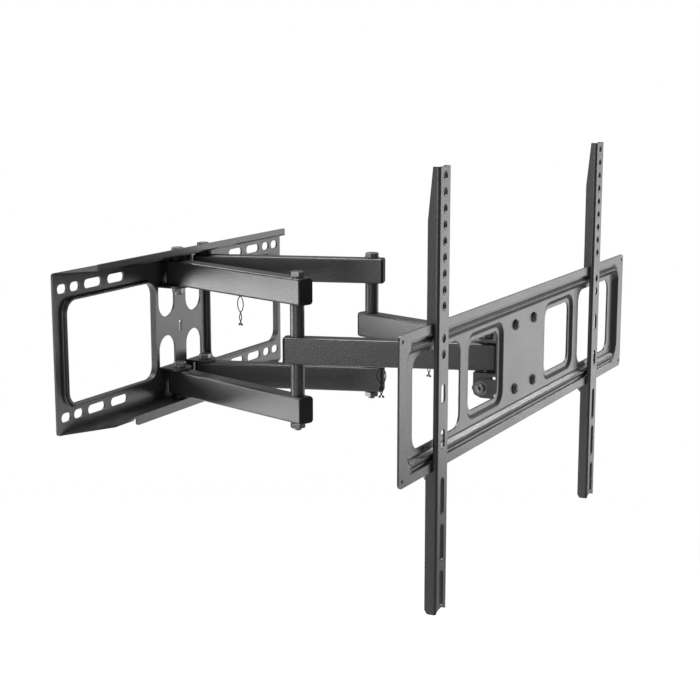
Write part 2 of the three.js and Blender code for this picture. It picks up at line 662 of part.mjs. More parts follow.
function mainPressing(depthMore, grow) {
  return pressing(0, 2 * recessHalfWidth, 2 * recessHalfHeight, TV_RECESS_RADIUS,
    tvFront + depthMore, TV_RECESS_DEPTH, TV_RECESS_RUN, grow);
}

function smallPressing(side, depthMore, grow) {
  return pressing(side * smallWindowMiddle(), SMALL_RECESS_WIDTH - 2 * SMALL_RECESS_RUN,
    2 * (smallRecessHalfHeight - SMALL_RECESS_RUN), TV_WINDOW_RADIUS,
    tvFront + tvWebFront + depthMore, SMALL_RECESS_DEPTH, SMALL_RECESS_RUN, grow);
}

// The long groove between the border and the recess, mirrored at the bottom edge.
function groove(row, depthMore, grow) {
  const outside = tvTop - TV_EDGE_BORDER + grow;
  const inside = tvTop - TV_EDGE_BORDER - TV_GROOVE_WIDTH - grow;
  const ridge = inside + TV_GROOVE_RIDGE;
  const mouthY = tvFront + depthMore;
  const floorY = mouthY + TV_GROOVE_DEPTH;
  const profile = polygon([[mouthY - OVERRUN, outside], [mouthY, outside],
    [floorY, outside - TV_GROOVE_WALL], [floorY, outside - 2 * TV_GROOVE_WALL], [mouthY, ridge],
    [mouthY - OVERRUN, ridge]]
    .map(([y, z]) => [y, tvMiddle + row * z]));
  const reach = tvHalf - TV_GROOVE_FROM_END + grow;
  return slab('x', profile, -reach, reach);
}

function tvWindows() {
  const bigFrom = TV_PANEL_HALF + SMALL_RECESS_WIDTH + TV_STRUT;
  const bigTo = tvHalf - BIG_WINDOW_FROM_END;
  const height = 2 * smallRecessHalfHeight;
  return [-1, 1].flatMap((side) => [
    roundedRect(side * (bigFrom + bigTo) / 2, tvMiddle, bigTo - bigFrom, height, TV_WINDOW_RADIUS),
    roundedRect(side * smallWindowMiddle(), tvMiddle, SMALL_RECESS_WIDTH - 2 * SMALL_RIM,
      height - 2 * SMALL_RIM, SMALL_WINDOW_RADIUS),
  ]);
}

function cornerHoles() {
  const x = tvHalf - TV_HOLE_INSET;
  const z = tvTop - TV_HOLE_INSET;
  return [[-x, -z], [x, -z], [-x, z], [x, z]].map(([holeX, holeZ]) => (
    roundedRect(holeX, tvMiddle + holeZ, 2 * TV_HOLE_RADIUS, 2 * TV_HOLE_RADIUS,
      TV_HOLE_RADIUS - ARC_SPARE)));
}

function tvPlate() {
  const outline = roundedRect(0, tvMiddle, TV_WIDTH, TV_HEIGHT, TV_CORNER);
  const sheet = slab('y', withHoles(outline, cornerHoles()), tvFront, tvFront + TV_SHEET);
  const backs = [mainPressing(TV_SHEET, TV_BACK_GROWTH), groove(1, TV_SHEET, TV_BACK_GROWTH),
    groove(-1, TV_SHEET, TV_BACK_GROWTH), smallPressing(-1, TV_SHEET, TV_BACK_GROWTH),
    smallPressing(1, TV_SHEET, TV_BACK_GROWTH)];
  const trim = slab('y', roundedRect(0, tvMiddle, TV_WIDTH, TV_HEIGHT, TV_CORNER),
    tvFront, tvFront + 3 * tvWebBack);
  const body = union([sheet, ...backs]).intersect(trim);
  const hollows = [mainPressing(0, 0), groove(1, 0, 0), groove(-1, 0, 0), smallPressing(-1, 0, 0),
    smallPressing(1, 0, 0)];
  const windows = tvWindows().map((window) => slab('y', window, 2 * tvFront, 0));
  const rivetDrills = rivetPlaces().map(({ x, z }) => slab('y',
    roundedRect(x, z, 2 * (RIVET_RADIUS + SEAT_GAP), 2 * (RIVET_RADIUS + SEAT_GAP), RIVET_RADIUS),
    2 * tvFront, 0));
  return piece('tv_plate', cut(body, [...hollows, ...windows, ...rivetDrills]), powderCoat);
}

function domeRivet(number, { x, z }) {
  const faceY = tvFront + tvWebFront - SEAT_GAP;
  const tailY = tvFront + tvWebBack + 2 * SEAT_GAP + BRACKET_SHEET;
  const tail = faceY - tailY;
  const profile = [[0, tail - RIVET_TAIL], [RIVET_TAIL_RADIUS, tail - RIVET_TAIL],
    [RIVET_TAIL_RADIUS, tail], [RIVET_RADIUS, tail], [RIVET_RADIUS, 0],
    [RIVET_DOME_RADIUS, 0], [RIVET_DOME_RADIUS * 0.86, RIVET_DOME_HEIGHT * 0.5],
    [RIVET_DOME_RADIUS * 0.5, RIVET_DOME_HEIGHT * 0.87], [0, RIVET_DOME_HEIGHT]]
    .map(([radius, height]) => new THREE.Vector2(radius, height));
  const mesh = new THREE.Mesh(new THREE.LatheGeometry(profile, HOLE_SIDES), blackSteel());
  mesh.name = `dome_rivet_${number}`;
  mesh.rotation.x = Math.PI;
  mesh.position.set(x, faceY, z);
  return mesh;
}

// ---------------------------------------------------------------- rails

const railFront = tvFront - RAIL_PROUD;
const railZero = TILT_DROP; // z of the middle of the forearms, seen from the tilt axis

function channel() {
  const half = RAIL_WIDTH / 2;
  const back = railFront + RAIL_DEPTH;
  const inside = RAIL_BEND - RAIL_SHEET;
  const shape = new THREE.Shape();
  shape.moveTo(half, back);
  shape.lineTo(half - RAIL_SHEET, back);
  shape.absarc(half - RAIL_BEND, railFront + RAIL_BEND, inside, 0, -Math.PI / 2, true);
  shape.absarc(RAIL_BEND - half, railFront + RAIL_BEND, inside, -Math.PI / 2, -Math.PI, true);
  shape.lineTo(RAIL_SHEET - half, back);
  shape.lineTo(-half, back);
  shape.absarc(RAIL_BEND - half, railFront + RAIL_BEND, RAIL_BEND, Math.PI, 1.5 * Math.PI);
  shape.absarc(half - RAIL_BEND, railFront + RAIL_BEND, RAIL_BEND, -Math.PI / 2, 0);
  return slab('z', shape, railZero + railBottom, railZero + RAIL_TOP);
}

// What is cut from the flanges: a slope at the top, rounded ends, and the notch for the TV plate.
function flangeCuts() {
  const half = RAIL_WIDTH;
  const back = railFront + RAIL_DEPTH;
  const far = back + RAIL_DEPTH;
  const top = railZero + RAIL_TOP;
  const bottom = railZero + railBottom;
  const over = top + OVERRUN;
  const under = bottom - OVERRUN;
  const slope = polygon([[railFront + RAIL_TOP_DEPTH, over], [railFront + RAIL_TOP_DEPTH, top],
    [back, top - RAIL_TAPER], [far, top - RAIL_TAPER], [far, over]]);
  const toe = bottom + RAIL_TOE;
  const corner = polygon([[back - RAIL_TOE, under], [back - RAIL_TOE, bottom],
    [back - RAIL_TOE / 3, bottom + RAIL_TOE / 3], [back, toe], [far, toe], [far, under]]);
  const plateTop = tvMiddle + tvTop + RAIL_FIT;
  const plateBottom = tvMiddle - tvTop - RAIL_FIT;
  const behind = tvFront + TV_SHEET + RAIL_FIT;
  const notch = polygon([[tvFront - RAIL_FIT, plateBottom], [far, plateBottom],
    [far, plateTop - RAIL_HOOK], [behind, plateTop - RAIL_HOOK], [behind, plateTop],
    [tvFront - RAIL_FIT, plateTop]]);
  return [slope, corner, notch].map((outline) => slab('x', outline, -half, half));
}

function railHoles() {
  const firstSlot = Math.max(...RAIL_SLOTS.map(({ fromBottom, length }) => fromBottom + length / 2));
  const lowest = railBottom + firstSlot + RAIL_HOLE_MARGIN + RAIL_HOLE_RADIUS;
  const plateTop = TV_RISE + tvTop;
  const holes = [];
  for (let z = RAIL_TOP - RAIL_HOLE_FIRST; z > lowest; z -= RAIL_HOLE_PITCH) {
    if (Math.abs(z - plateTop) > RAIL_HOLE_CLEAR) {
      holes.push(slot(0, railZero + z, 2 * RAIL_HOLE_RADIUS, 2 * RAIL_HOLE_RADIUS));
    }
  }
  const slots = RAIL_SLOTS.map(({ fromBottom, length }) => (
    slot(0, railZero + railBottom + fromBottom, 2 * RAIL_HOLE_RADIUS, length)));
  return [...holes, ...slots].map((outline) => (
    slab('y', outline, railFront - OVERRUN, railFront + RAIL_BEND)));
}

function bottomArch() {
  const half = RAIL_WIDTH / 2 - RAIL_SHEET;
  const bottom = railZero + railBottom;
  const arch = new THREE.Shape();
  arch.moveTo(-half, bottom - OVERRUN);
  arch.lineTo(half, bottom - OVERRUN);
  arch.absellipse(0, bottom, half, RAIL_ARCH, 0, Math.PI, false, 0);
  return slab('y', arch, railFront - OVERRUN, railFront + RAIL_BEND);
}

// The lock screw's own axes: z runs from the tip, at the edge of the TV plate, back to the head.
function lockFrame(solid) {
  const tipZ = tvMiddle - tvTop - LOCK_TIP_BELOW;
  return solid.rotate([-135, 0, 0]).translate([0, tvFront + LOCK_TIP_BEHIND, tipZ]);
}

function lockTab() {
  const width = RAIL_WIDTH - RAIL_SHEET;
  const tab = new THREE.BoxGeometry(width, LOCK_TAB_WIDTH, RAIL_SHEET)
    .translate(0, LOCK_TAB_SHIFT, LOCK_TAB_FROM_TIP);
  const drill = rod(LOCK_RADIUS + TURN_GAP, 0, LOCK_LENGTH);
  return lockFrame(toSolid(tab).subtract(drill));
}

function rail(sideName, x) {
  const group = new THREE.Group();
  group.position.x = x;
  const body = cut(channel(), [...flangeCuts(), ...railHoles(), bottomArch()]).add(lockTab());
  const head = rod(LOCK_HEAD_RADIUS, LOCK_LENGTH, LOCK_LENGTH + LOCK_HEAD_HEIGHT);
  const screw = lockFrame(rod(LOCK_RADIUS, 0, LOCK_LENGTH + OVERRUN).add(head));
  group.add(piece(`rail_${sideName}`, body, powderCoat),
    piece(`lock_screw_${sideName}`, screw, blackSteel));
  return group;
}

// ---------------------------------------------------------------- assembly

function tiltingSide() {
  const group = new THREE.Group();
  group.position.z = -TILT_DROP;
  group.add(tiltBracket(), tvPlate(), rail('left', RAIL_LEFT_X), rail('right', RAIL_RIGHT_X));
  rivetPlaces().forEach((place, i) => group.add(domeRivet(i + 1, place)));
  return group;
}

function head() {
  const group = new THREE.Group();
  group.add(headClevis(), headBolt('left', -1), headBolt('right', 1), tiltScrew('left', -1),
    tiltScrew('right', 1), tiltingSide());
  return group;
}

function assembly() {
  const mount = new THREE.Group();
  const left = arm('left', -1, boltHole);
  const right = arm('right', 1, BOLT_RADIUS + LOOP_GAP);
  left.group.add(cableClip('cable_clip_link_left', linkBottom, -CLIP_ON_LINK * LINK_LENGTH));
  // The head hangs on the left forearm and stays square to the wall.
  const wrist = new THREE.Group();
  wrist.position.y = -LINK_LENGTH;
  wrist.rotation.z = -openAngle;
  const headGroup = head();
  headGroup.position.x = pivotHalf;
  wrist.add(headGroup);
  left.fore.add(wrist);
  mount.add(wallPlate(), shoulder('left', -1), shoulder('right', 1), left.group, right.group);
  return mount;
}

export default assembly();
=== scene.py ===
# %% [markdown]
# # A full motion TV wall mount
# The mount is mostly pressed and bent steel under one satin black powder coat. The packed
# model gives the size and place of every piece, so this lesson only gives each piece its fine
# shape (bend radii, rolled rims, chamfers, washers) and its finish.

# %% Load the model
import json
import math
import bmesh
import bpy
from mathutils import Matrix, Vector


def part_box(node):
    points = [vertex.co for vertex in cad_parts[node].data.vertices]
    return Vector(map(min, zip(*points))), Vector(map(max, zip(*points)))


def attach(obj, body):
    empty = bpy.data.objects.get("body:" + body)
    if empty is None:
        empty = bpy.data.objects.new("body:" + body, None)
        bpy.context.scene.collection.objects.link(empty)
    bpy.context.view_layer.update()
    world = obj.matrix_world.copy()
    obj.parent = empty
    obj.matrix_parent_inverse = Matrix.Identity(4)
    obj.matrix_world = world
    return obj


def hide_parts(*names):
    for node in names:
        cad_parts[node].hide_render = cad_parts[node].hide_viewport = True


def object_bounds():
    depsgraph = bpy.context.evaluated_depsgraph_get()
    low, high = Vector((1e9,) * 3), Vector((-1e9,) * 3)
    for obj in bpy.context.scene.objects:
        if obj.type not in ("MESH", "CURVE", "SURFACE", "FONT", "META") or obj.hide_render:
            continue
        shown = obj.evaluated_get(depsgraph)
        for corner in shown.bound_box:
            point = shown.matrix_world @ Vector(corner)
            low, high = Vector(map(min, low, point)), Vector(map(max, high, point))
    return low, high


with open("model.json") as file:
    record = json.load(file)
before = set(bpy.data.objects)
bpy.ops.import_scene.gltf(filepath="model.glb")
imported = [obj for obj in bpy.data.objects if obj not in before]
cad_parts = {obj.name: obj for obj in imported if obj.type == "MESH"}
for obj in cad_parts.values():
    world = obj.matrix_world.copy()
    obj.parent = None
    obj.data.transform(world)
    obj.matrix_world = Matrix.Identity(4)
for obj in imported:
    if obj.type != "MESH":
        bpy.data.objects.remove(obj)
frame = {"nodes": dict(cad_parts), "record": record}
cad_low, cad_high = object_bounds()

print("size in mm:", [round(1000 * v) for v in cad_high - cad_low])

# %% [markdown]
# ## A few habits
# Every operator acts on whatever is selected, so each step first clears the selection. Faces
# and edges are then picked in code, by where they are or which way they point. Lengths are
# written in millimetres and turned into metres by one factor.

# %% Selecting and editing
MM = 0.001
AXES = {"x": Vector((1, 0, 0)), "y": Vector((0, 1, 0)), "z": Vector((0, 0, 1))}


def pick(*objects):
    """Only these objects are selected, and the first one is active."""
    bpy.ops.object.select_all(action="DESELECT")
    for obj in objects:
        obj.select_set(True)
    bpy.context.view_layer.objects.active = objects[0]


def select_in(obj, kind, test):
    """In edit mode, select the faces or edges that pass a test, and count them."""
    bpy.ops.mesh.select_mode(type="VERT")
    bpy.ops.mesh.select_all(action="DESELECT")
    bpy.ops.mesh.select_mode(type="FACE" if kind == "faces" else "EDGE")
    mesh = bmesh.from_edit_mesh(obj.data)
    chosen = [part for part in getattr(mesh, kind) if test(part)]
    for part in chosen:
        part.select_set(True)
    mesh.select_flush_mode()
    bmesh.update_edit_mesh(obj.data)
    return len(chosen)


def edit(obj, *steps):
    """Run (kind, test, operator) steps in edit mode."""
    pick(obj)
    bpy.ops.object.mode_set(mode="EDIT")
    for kind, test, operator in steps:
        if select_in(obj, kind, test):
            operator()
    bpy.ops.object.mode_set(mode="OBJECT")
    return obj


def edge_along(axis):
    def test(edge):
        run = edge.verts[1].co - edge.verts[0].co
        return run.length > 1e-7 and abs(run.normalized().dot(AXES[axis])) > 0.999
    return test


def edge_at(axis, place_on_axis):
    """Edges that lie whole in one plane across an axis."""
    return lambda edge: all(abs(v.co.dot(AXES[axis]) - place_on_axis) < 1e-6 for v in edge.verts)


def face_towards(direction):
    return lambda face: face.normal.dot(Vector(direction)) > 0.99


def middle_of(part):
    return sum((v.co for v in part.verts), Vector()) / len(part.verts)


def round_over(radius, segments=5):
    return lambda: bpy.ops.mesh.bevel(offset=radius, segments=segments, affect="EDGES")


# %% [markdown]
# ## Blocks, cutters and joins
# A pressed plate is easiest to build the way a toolmaker thinks of it: a flat blank, a punch
# for each hollow, and a cutter for each hole. Each punch is a cube primitive whose corners are
# rounded and whose mouth is wider than its floor. A Boolean modifier then joins or cuts, and
# its result is applied to the mesh at once.

# %% Solid helpers
def block(name, low, high):
    bpy.ops.object.select_all(action="DESELECT")
    low, high = Vector(low), Vector(high)
    bpy.ops.mesh.primitive_cube_add(size=1, location=(low + high) / 2)
    obj = bpy.context.object
    obj.name = name
    obj.scale = high - low
    bpy.ops.object.transform_apply(location=True, rotation=True, scale=True)
    return obj


def rounded_block(name, low, high, radius, axis, segments=8):
    """A block whose four edges along one axis are rounded."""
    return edit(block(name, low, high), ("edges", edge_along(axis), round_over(radius, segments)))


def combine(target, tool, operation):
    pick(target)
    modifier = target.modifiers.new(operation.lower(), "BOOLEAN")
    modifier.operation = operation
    modifier.object = tool
    modifier.solver = "EXACT"
    bpy.ops.object.modifier_apply(modifier=modifier.name)
    bpy.data.objects.remove(tool)
    return target


def together(tools):
    """Several cutters that do not touch, as one object."""
    pick(*tools)
    bpy.ops.object.join()
    return tools[0]


def cut(target, *tools):
    return combine(target, together(tools), "DIFFERENCE")


def add(target, *tools):
    for tool in tools:
        combine(target, tool, "UNION")
    return target


def soften(obj, width, segments=3, degrees=28):
    """Round every edge that is sharper than an angle, as a coat of powder paint does."""
    pick(obj)
    modifier = obj.modifiers.new("soften", "BEVEL")
    modifier.width = width
    modifier.segments = segments
    modifier.limit_method = "ANGLE"
    modifier.angle_limit = math.radians(degrees)
    bpy.ops.object.modifier_apply(modifier=modifier.name)
    return obj


def smooth(obj, degrees=35):
    """Shade the bends smooth, and let the large flat faces keep their own direction."""
    pick(obj)
    bpy.ops.object.shade_smooth_by_angle(angle=math.radians(degrees))
    modifier = obj.modifiers.new("flats", "WEIGHTED_NORMAL")
    modifier.keep_sharp = True
    bpy.ops.object.modifier_apply(modifier=modifier.name)
    return obj


def copy_of(obj, name, move=(0, 0, 0), turn=None):
    """A copy with its own mesh, moved or turned in its mesh."""
    other = obj.copy()
    other.data = obj.data.copy()
    other.name = name
    bpy.context.scene.collection.objects.link(other)
    if turn:
        other.data.transform(turn)
    other.data.transform(Matrix.Translation(Vector(move)))
    return other


def cylinder(name, radius, low, high, sides=32, turn=None):
    """A cylinder that stands on z between two heights, or is turned from there."""
    bpy.ops.object.select_all(action="DESELECT")
    bpy.ops.mesh.primitive_cylinder_add(
        vertices=sides, radius=radius, depth=high - low, location=(0, 0, (low + high) / 2))
    obj = bpy.context.object
    obj.name = name
    bpy.ops.object.transform_apply(location=True, rotation=True, scale=True)
    if turn:
        obj.data.transform(turn)
    return obj


def place(obj, offset):
    obj.data.transform(Matrix.Translation(Vector(offset)))
    return obj


# %% [markdown]
# ## Shader shorthand
# A finish is easier to read as arithmetic than as a pile of nodes. `Value` wraps a socket and
# turns `+ - *` into Math nodes, and `Finish.node` adds any other node with its settings first
# and its inputs after.

# %% Value and Finish
class Value:
    def __init__(self, finish, socket):
        self.finish = finish
        self.socket = socket

    def math(self, operation, other, swap=False):
        inputs = [other, self] if swap else [self, other]
        return self.finish.node("ShaderNodeMath", {"operation": operation}, inputs)

    def __add__(self, other):
        return self.math("ADD", other)

    def __sub__(self, other):
        return self.math("SUBTRACT", other)

    def __mul__(self, other):
        return self.math("MULTIPLY", other)

    def __rsub__(self, other):
        return self.math("SUBTRACT", other, swap=True)

    __radd__ = __add__
    __rmul__ = __mul__


class Finish:
    """One material: a Principled shader and the nodes that vary it."""

    def __init__(self, name, **constants):
        self.material = bpy.data.materials.new(name)
        self.material.use_nodes = True
        self.nodes = self.material.node_tree.nodes
        self.links = self.material.node_tree.links
        self.shader = self.nodes["Principled BSDF"]
        for socket, constant in constants.items():
            self.shader.inputs[socket.replace("_", " ")].default_value = constant
        self.place = self.node("ShaderNodeTexCoord", {}, [], "Object")

    def node(self, kind, settings, inputs, output=0):
        """Add a node. Inputs are a list by order, or a dictionary by name."""
        made = self.nodes.new(kind)
        for key, setting in settings.items():
            setattr(made, key, setting)
        named = inputs.items() if isinstance(inputs, dict) else enumerate(inputs)
        for key, value in named:
            self.feed(made.inputs[key], value)
        return Value(self, made.outputs[output])

    def feed(self, socket, value):
        if isinstance(value, Value):
            self.links.new(value.socket, socket)
        else:
            socket.default_value = value

    def noise(self, scale, detail=2.0, roughness=0.5):
        inputs = {"Vector": self.place, "Scale": scale, "Detail": detail, "Roughness": roughness}
        return self.node("ShaderNodeTexNoise", {}, inputs)

    def mix(self, mask, first, second):
        """Blend two colours by a mask from 0 to 1."""
        made = self.nodes.new("ShaderNodeMix")
        made.data_type = "RGBA"
        for socket, value in zip([s for s in made.inputs if s.enabled], (mask, first, second)):
            self.feed(socket, value)
        return Value(self, next(s for s in made.outputs if s.enabled))

    def set(self, socket, value):
        self.feed(self.shader.inputs[socket], value)

    def bump(self, height, distance, strength=1.0):
        inputs = {"Strength": strength, "Distance": distance, "Height": height}
        self.set("Normal", self.node("ShaderNodeBump", {}, inputs))


def grey(level, tint=0.0):
    return (level * (1 - tint), level, level * (1 + tint), 1.0)


# %% [markdown]
# ## Powder coat
# Powder paint is baked on, so it flows into a skin with a fine orange-peel relief and an even
# satin gloss. Up close there is a fleck of lighter grain. Three noises do this: a broad one
# that shifts the gloss from hand to hand, a fine one for the relief, and a very fine one for
# the fleck. The arms' tubes are a little coarser than the pressed plates.

# %% Powder coats
def powder_coat(name, level, roughness, peel_scale, peel_depth, fleck):
    coat = Finish(name, Metallic=0.0, Specular_IOR_Level=0.62)
    broad = coat.noise(14, 3)
    peel = coat.noise(peel_scale, 2, 0.6)
    grain = coat.noise(peel_scale * 2.4, 1, 0.5)
    dark = grey(level * 0.82, 0.02)
    light = grey(level * 1.18, 0.03)
    tone = coat.mix(broad, dark, light)
    spark = (grain - 0.6) * fleck
    coat.set("Base Color", coat.mix(spark, tone, grey(level * 4.0, 0.03)))
    coat.set("Roughness", roughness + (broad - 0.5) * 0.10 + (peel - 0.5) * 0.12)
    coat.bump(peel, peel_depth)
    return coat.material


plate_coat = powder_coat("plate_powder_coat", 0.016, 0.33, 620, 0.00012, 2.5)
tube_coat = powder_coat("tube_powder_coat", 0.015, 0.35, 520, 0.00020, 3.5)
print("powder coats made")

# %% [markdown]
# ## Moulded plastic and dark steel
# The end caps and cable clips are cheap moulded plastic: duller than the paint and slightly
# mottled. The fasteners are blackened steel, with the metal showing through in fine turned
# marks, so they catch small bright glints.

# %% Plastic and steel
def moulded_plastic(name, level):
    plastic = Finish(name, Metallic=0.0, Specular_IOR_Level=0.18)
    cloud = plastic.noise(60, 4, 0.6)
    pores = plastic.noise(1400, 2, 0.5)
    plastic.set("Base Color", plastic.mix(cloud, grey(level * 0.7), grey(level * 1.4)))
    plastic.set("Roughness", 0.52 + (cloud - 0.5) * 0.2)
    plastic.bump(pores, 0.00003)
    return plastic.material


def dark_steel(name, level, roughness):
    steel = Finish(name, Metallic=0.85)
    wear = steel.noise(120, 5, 0.65)
    turned = steel.noise(2200, 1, 0.4)
    steel.set("Base Color", steel.mix((wear - 0.45) * 2.0, grey(level), grey(level * 2.4, 0.02)))
    steel.set("Roughness", roughness + (wear - 0.5) * 0.25)
    steel.bump(turned, 0.00002)
    return steel.material


cap_plastic = moulded_plastic("cap_plastic", 0.003)
clip_plastic = moulded_plastic("clip_plastic", 0.008)
fastener_steel = dark_steel("fastener_steel", 0.11, 0.32)
rivet_steel = dark_steel("rivet_steel", 0.07, 0.38)


def dress(obj, material, body=None, replaces=()):
    """Give a piece its finish, and say what it rides on and which CAD nodes it stands for."""
    obj.data.materials.clear()
    obj.data.materials.append(material)
    if body:
        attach(obj, body)
    if replaces:
        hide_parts(*replaces)
    return obj


# %% [markdown]
# ## One finish for each slot
# The real mount is painted in one batch, so a few finishes serve every piece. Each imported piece
# gets its own here, so that none of them is left bare.

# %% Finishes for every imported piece
slot_finish = {
    "wall_plate": plate_coat, "tv_plate": plate_coat, "rails": plate_coat,
    "arm_tubes": tube_coat, "head_sheet": plate_coat, "plastic_caps": cap_plastic,
    "cable_clips": clip_plastic, "fasteners": fastener_steel, "rivets": rivet_steel,
}
for subpart in frame["record"]["subparts"]:
    dress(frame["nodes"][subpart["node"]], slot_finish[subpart["material_slot"]])

# %% [markdown]
# ## The TV plate
# One steel sheet, pressed so that it is stiff: a flat border, a long groove under the top edge
# and over the bottom edge, and a recessed web with four windows. The two small windows sit in
# a second, shallower hollow. The blank and the backs of the hollows are joined first, then the
# hollows themselves are taken away, which leaves sheet of even thickness.

# %% Sizes of the TV plate
tv_low, tv_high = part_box("tv_plate")
tv_front = tv_low.y
tv_mid = (tv_low.z + tv_high.z) / 2
tv_half = tv_high.x
tv_top = (tv_high.z - tv_low.z) / 2
tv_sheet = 2 * MM
tv_corner = 6 * MM
border_end = 17 * MM
border_edge = 9 * MM
groove_width = 7.5 * MM
groove_depth = 3 * MM
groove_gap = 0.3 * MM
groove_from_end = 24 * MM
groove_end_run = 9 * MM
groove_floor_in = 2.2 * MM
groove_floor_share = 0.22
web_depth = 6 * MM
web_corner = 12 * MM
wall_run = 5 * MM
panel_half = 62 * MM
small_half = 48 * MM
small_depth = 3 * MM
small_run = 4 * MM
small_corner = 14 * MM
small_rim = 8.5 * MM
strut = 18 * MM
big_from_end = 40 * MM
window_height_half = 44.5 * MM
floor_half_x = tv_half - border_end - wall_run
floor_half_z = tv_top - border_edge - groove_width - wall_run
small_mid = panel_half + small_half
print("web floor in mm:", round(2000 * floor_half_x), "by", round(2000 * floor_half_z))

# %% [markdown]
# ### The press tools
# A punch is a rounded block whose mouth is wider than its floor, so its walls slope as they do
# when sheet is drawn into a die. The groove is a V, steep on the outside and shallow inside.

# %% Punch and groove
PUNCH_EDGE = 1 * MM  # how far a tool stands proud of the sheet


def punch(name, mid_x, half_x, half_z, radius, mouth_y, depth, run):
    """A hollow whose floor is half_x by half_z and whose walls slope out to the mouth."""
    tool = rounded_block(name, (mid_x - half_x, mouth_y, tv_mid - half_z),
                         (mid_x + half_x, mouth_y + depth, tv_mid + half_z), radius, "y")
    widen = Vector(((half_x + run) / half_x, 1, (half_z + run) / half_z))
    mouth = Vector((mid_x, mouth_y, tv_mid))
    front = face_towards((0, -1, 0))
    edit(tool,
         ("faces", front, lambda: bpy.ops.transform.resize(value=widen, center_override=mouth)),
         ("edges", edge_at("y", mouth_y + depth), round_over(min(depth, run) * 0.4, 3)),
         ("faces", front, lambda: bpy.ops.mesh.extrude_region_move(
             TRANSFORM_OT_translate={"value": (0, -PUNCH_EDGE, 0)})))
    return tool


def groove(name, row, deeper=0.0):
    """A long V that is steep on the outside and shallow on the inside."""
    outside = tv_top - border_edge + deeper * 0.5
    inside = outside - groove_width - deeper - groove_gap
    reach = tv_half - groove_from_end
    low = Vector((-reach, tv_front + deeper, tv_mid + min(row * inside, row * outside)))
    high = Vector((reach, tv_front + groove_depth + deeper, tv_mid + max(row * inside, row * outside)))
    tool = block(name, low, high)
    floor_z = tv_mid + row * (outside - groove_floor_in)
    narrow = Vector(((reach - groove_end_run) / reach, 1, groove_floor_share))
    edit(tool,
         ("faces", face_towards((0, 1, 0)), lambda: (
             bpy.ops.transform.resize(value=narrow),
             bpy.ops.transform.translate(value=(0, 0, floor_z - (low.z + high.z) / 2)))),
         ("edges", edge_at("y", high.y), round_over(0.5 * MM, 2)),
         ("faces", face_towards((0, -1, 0)), lambda: bpy.ops.mesh.extrude_region_move(
             TRANSFORM_OT_translate={"value": (0, -PUNCH_EDGE, 0)})))
    return tool


print("press tools ready")

# %% [markdown]
# ### Pressing the sheet
# The backs of the hollows are added to the blank first, one sheet thickness larger than the
# hollows, and then the hollows are taken away. The bends that this leaves are rounded, wider in
# the web than at the narrow grooves.

# %% Press the TV plate
plate = rounded_block("tv_plate_pressed", (-tv_half, tv_front, tv_low.z),
                      (tv_half, tv_front + tv_sheet, tv_high.z), tv_corner, "y")
grow = 1.5 * MM
back_y = tv_front + tv_sheet
add(plate,
    punch("web_back", 0, floor_half_x + grow, floor_half_z + grow, web_corner + grow, back_y,
          web_depth, wall_run),
    groove("groove_back_top", 1, tv_sheet), groove("groove_back_bottom", -1, tv_sheet),
    *[punch("small_back", side * small_mid, small_half - small_run + grow,
            window_height_half - small_run + grow, small_corner + grow, back_y + web_depth,
            small_depth, small_run) for side in (-1, 1)])
cut(plate, punch("web_hollow", 0, floor_half_x, floor_half_z, web_corner, tv_front, web_depth,
                 wall_run))
cut(plate, groove("groove_top", 1), groove("groove_bottom", -1))
cut(plate, *[punch("small_hollow", side * small_mid, small_half - small_run,
                   window_height_half - small_run, small_corner, tv_front + web_depth,
                   small_depth, small_run) for side in (-1, 1)])


def bend_within(half_z):
    """Bends of the pressing, up to a height from its middle, but not the sheet's own outline."""
    def test(edge):
        inside = all(abs(v.co.x) < tv_half - 8 * MM and abs(v.co.z - tv_mid) < half_z
                     for v in edge.verts)
        return inside and len(edge.link_faces) == 2 and edge.calc_face_angle() > 0.35
    return test


web_zone = 56.5 * MM
edit(plate, ("edges", bend_within(web_zone), round_over(1.5 * MM, 4)),
     ("edges", bend_within(tv_top - 6 * MM), round_over(0.5 * MM, 3)))
print("pressed faces:", len(plate.data.polygons))

# %% [markdown]
# ### The windows
# The windows and the small hole in each corner are punched last, through the finished pressing,
# so their edges stay sharp apart from the skin of paint.

# %% Cut the windows
big_from = panel_half + 2 * small_half + strut
big_to = tv_half - big_from_end
big_corner = 14 * MM
small_window_corner = 10 * MM
corner_in = 6.5 * MM
to_y = Matrix.Rotation(math.radians(90), 4, "X")


def window_cutter(mid_x, half_x, half_z, radius):
    return rounded_block("window", (mid_x - half_x, tv_front - 5 * MM, tv_mid - half_z),
                         (mid_x + half_x, tv_front + 20 * MM, tv_mid + half_z), radius, "y")


def corner_hole(side, row):
    return place(cylinder("corner_hole", 2.2 * MM, -5 * MM, 5 * MM, 24, to_y),
                 (side * (tv_half - corner_in), tv_front, tv_mid + row * (tv_top - corner_in)))


cut(plate, *[window_cutter(side * (big_from + big_to) / 2, (big_to - big_from) / 2,
                           window_height_half, big_corner) for side in (-1, 1)],
    *[window_cutter(side * small_mid, small_half - small_rim, window_height_half - small_rim,
                    small_window_corner) for side in (-1, 1)],
    *[corner_hole(side, row) for side in (-1, 1) for row in (-1, 1)])
soften(plate, 0.45 * MM, 2, 40)
smooth(plate)
dress(plate, plate_coat, "tv_side", ["tv_plate"])
print("TV plate faces:", len(plate.data.polygons))

# %% [markdown]
# ## The rails
# Each rail is one channel bent from a strip. The bend is generous, so the two long front edges
# are rounded on the block before it is hollowed. The second rail is a copy of the first.

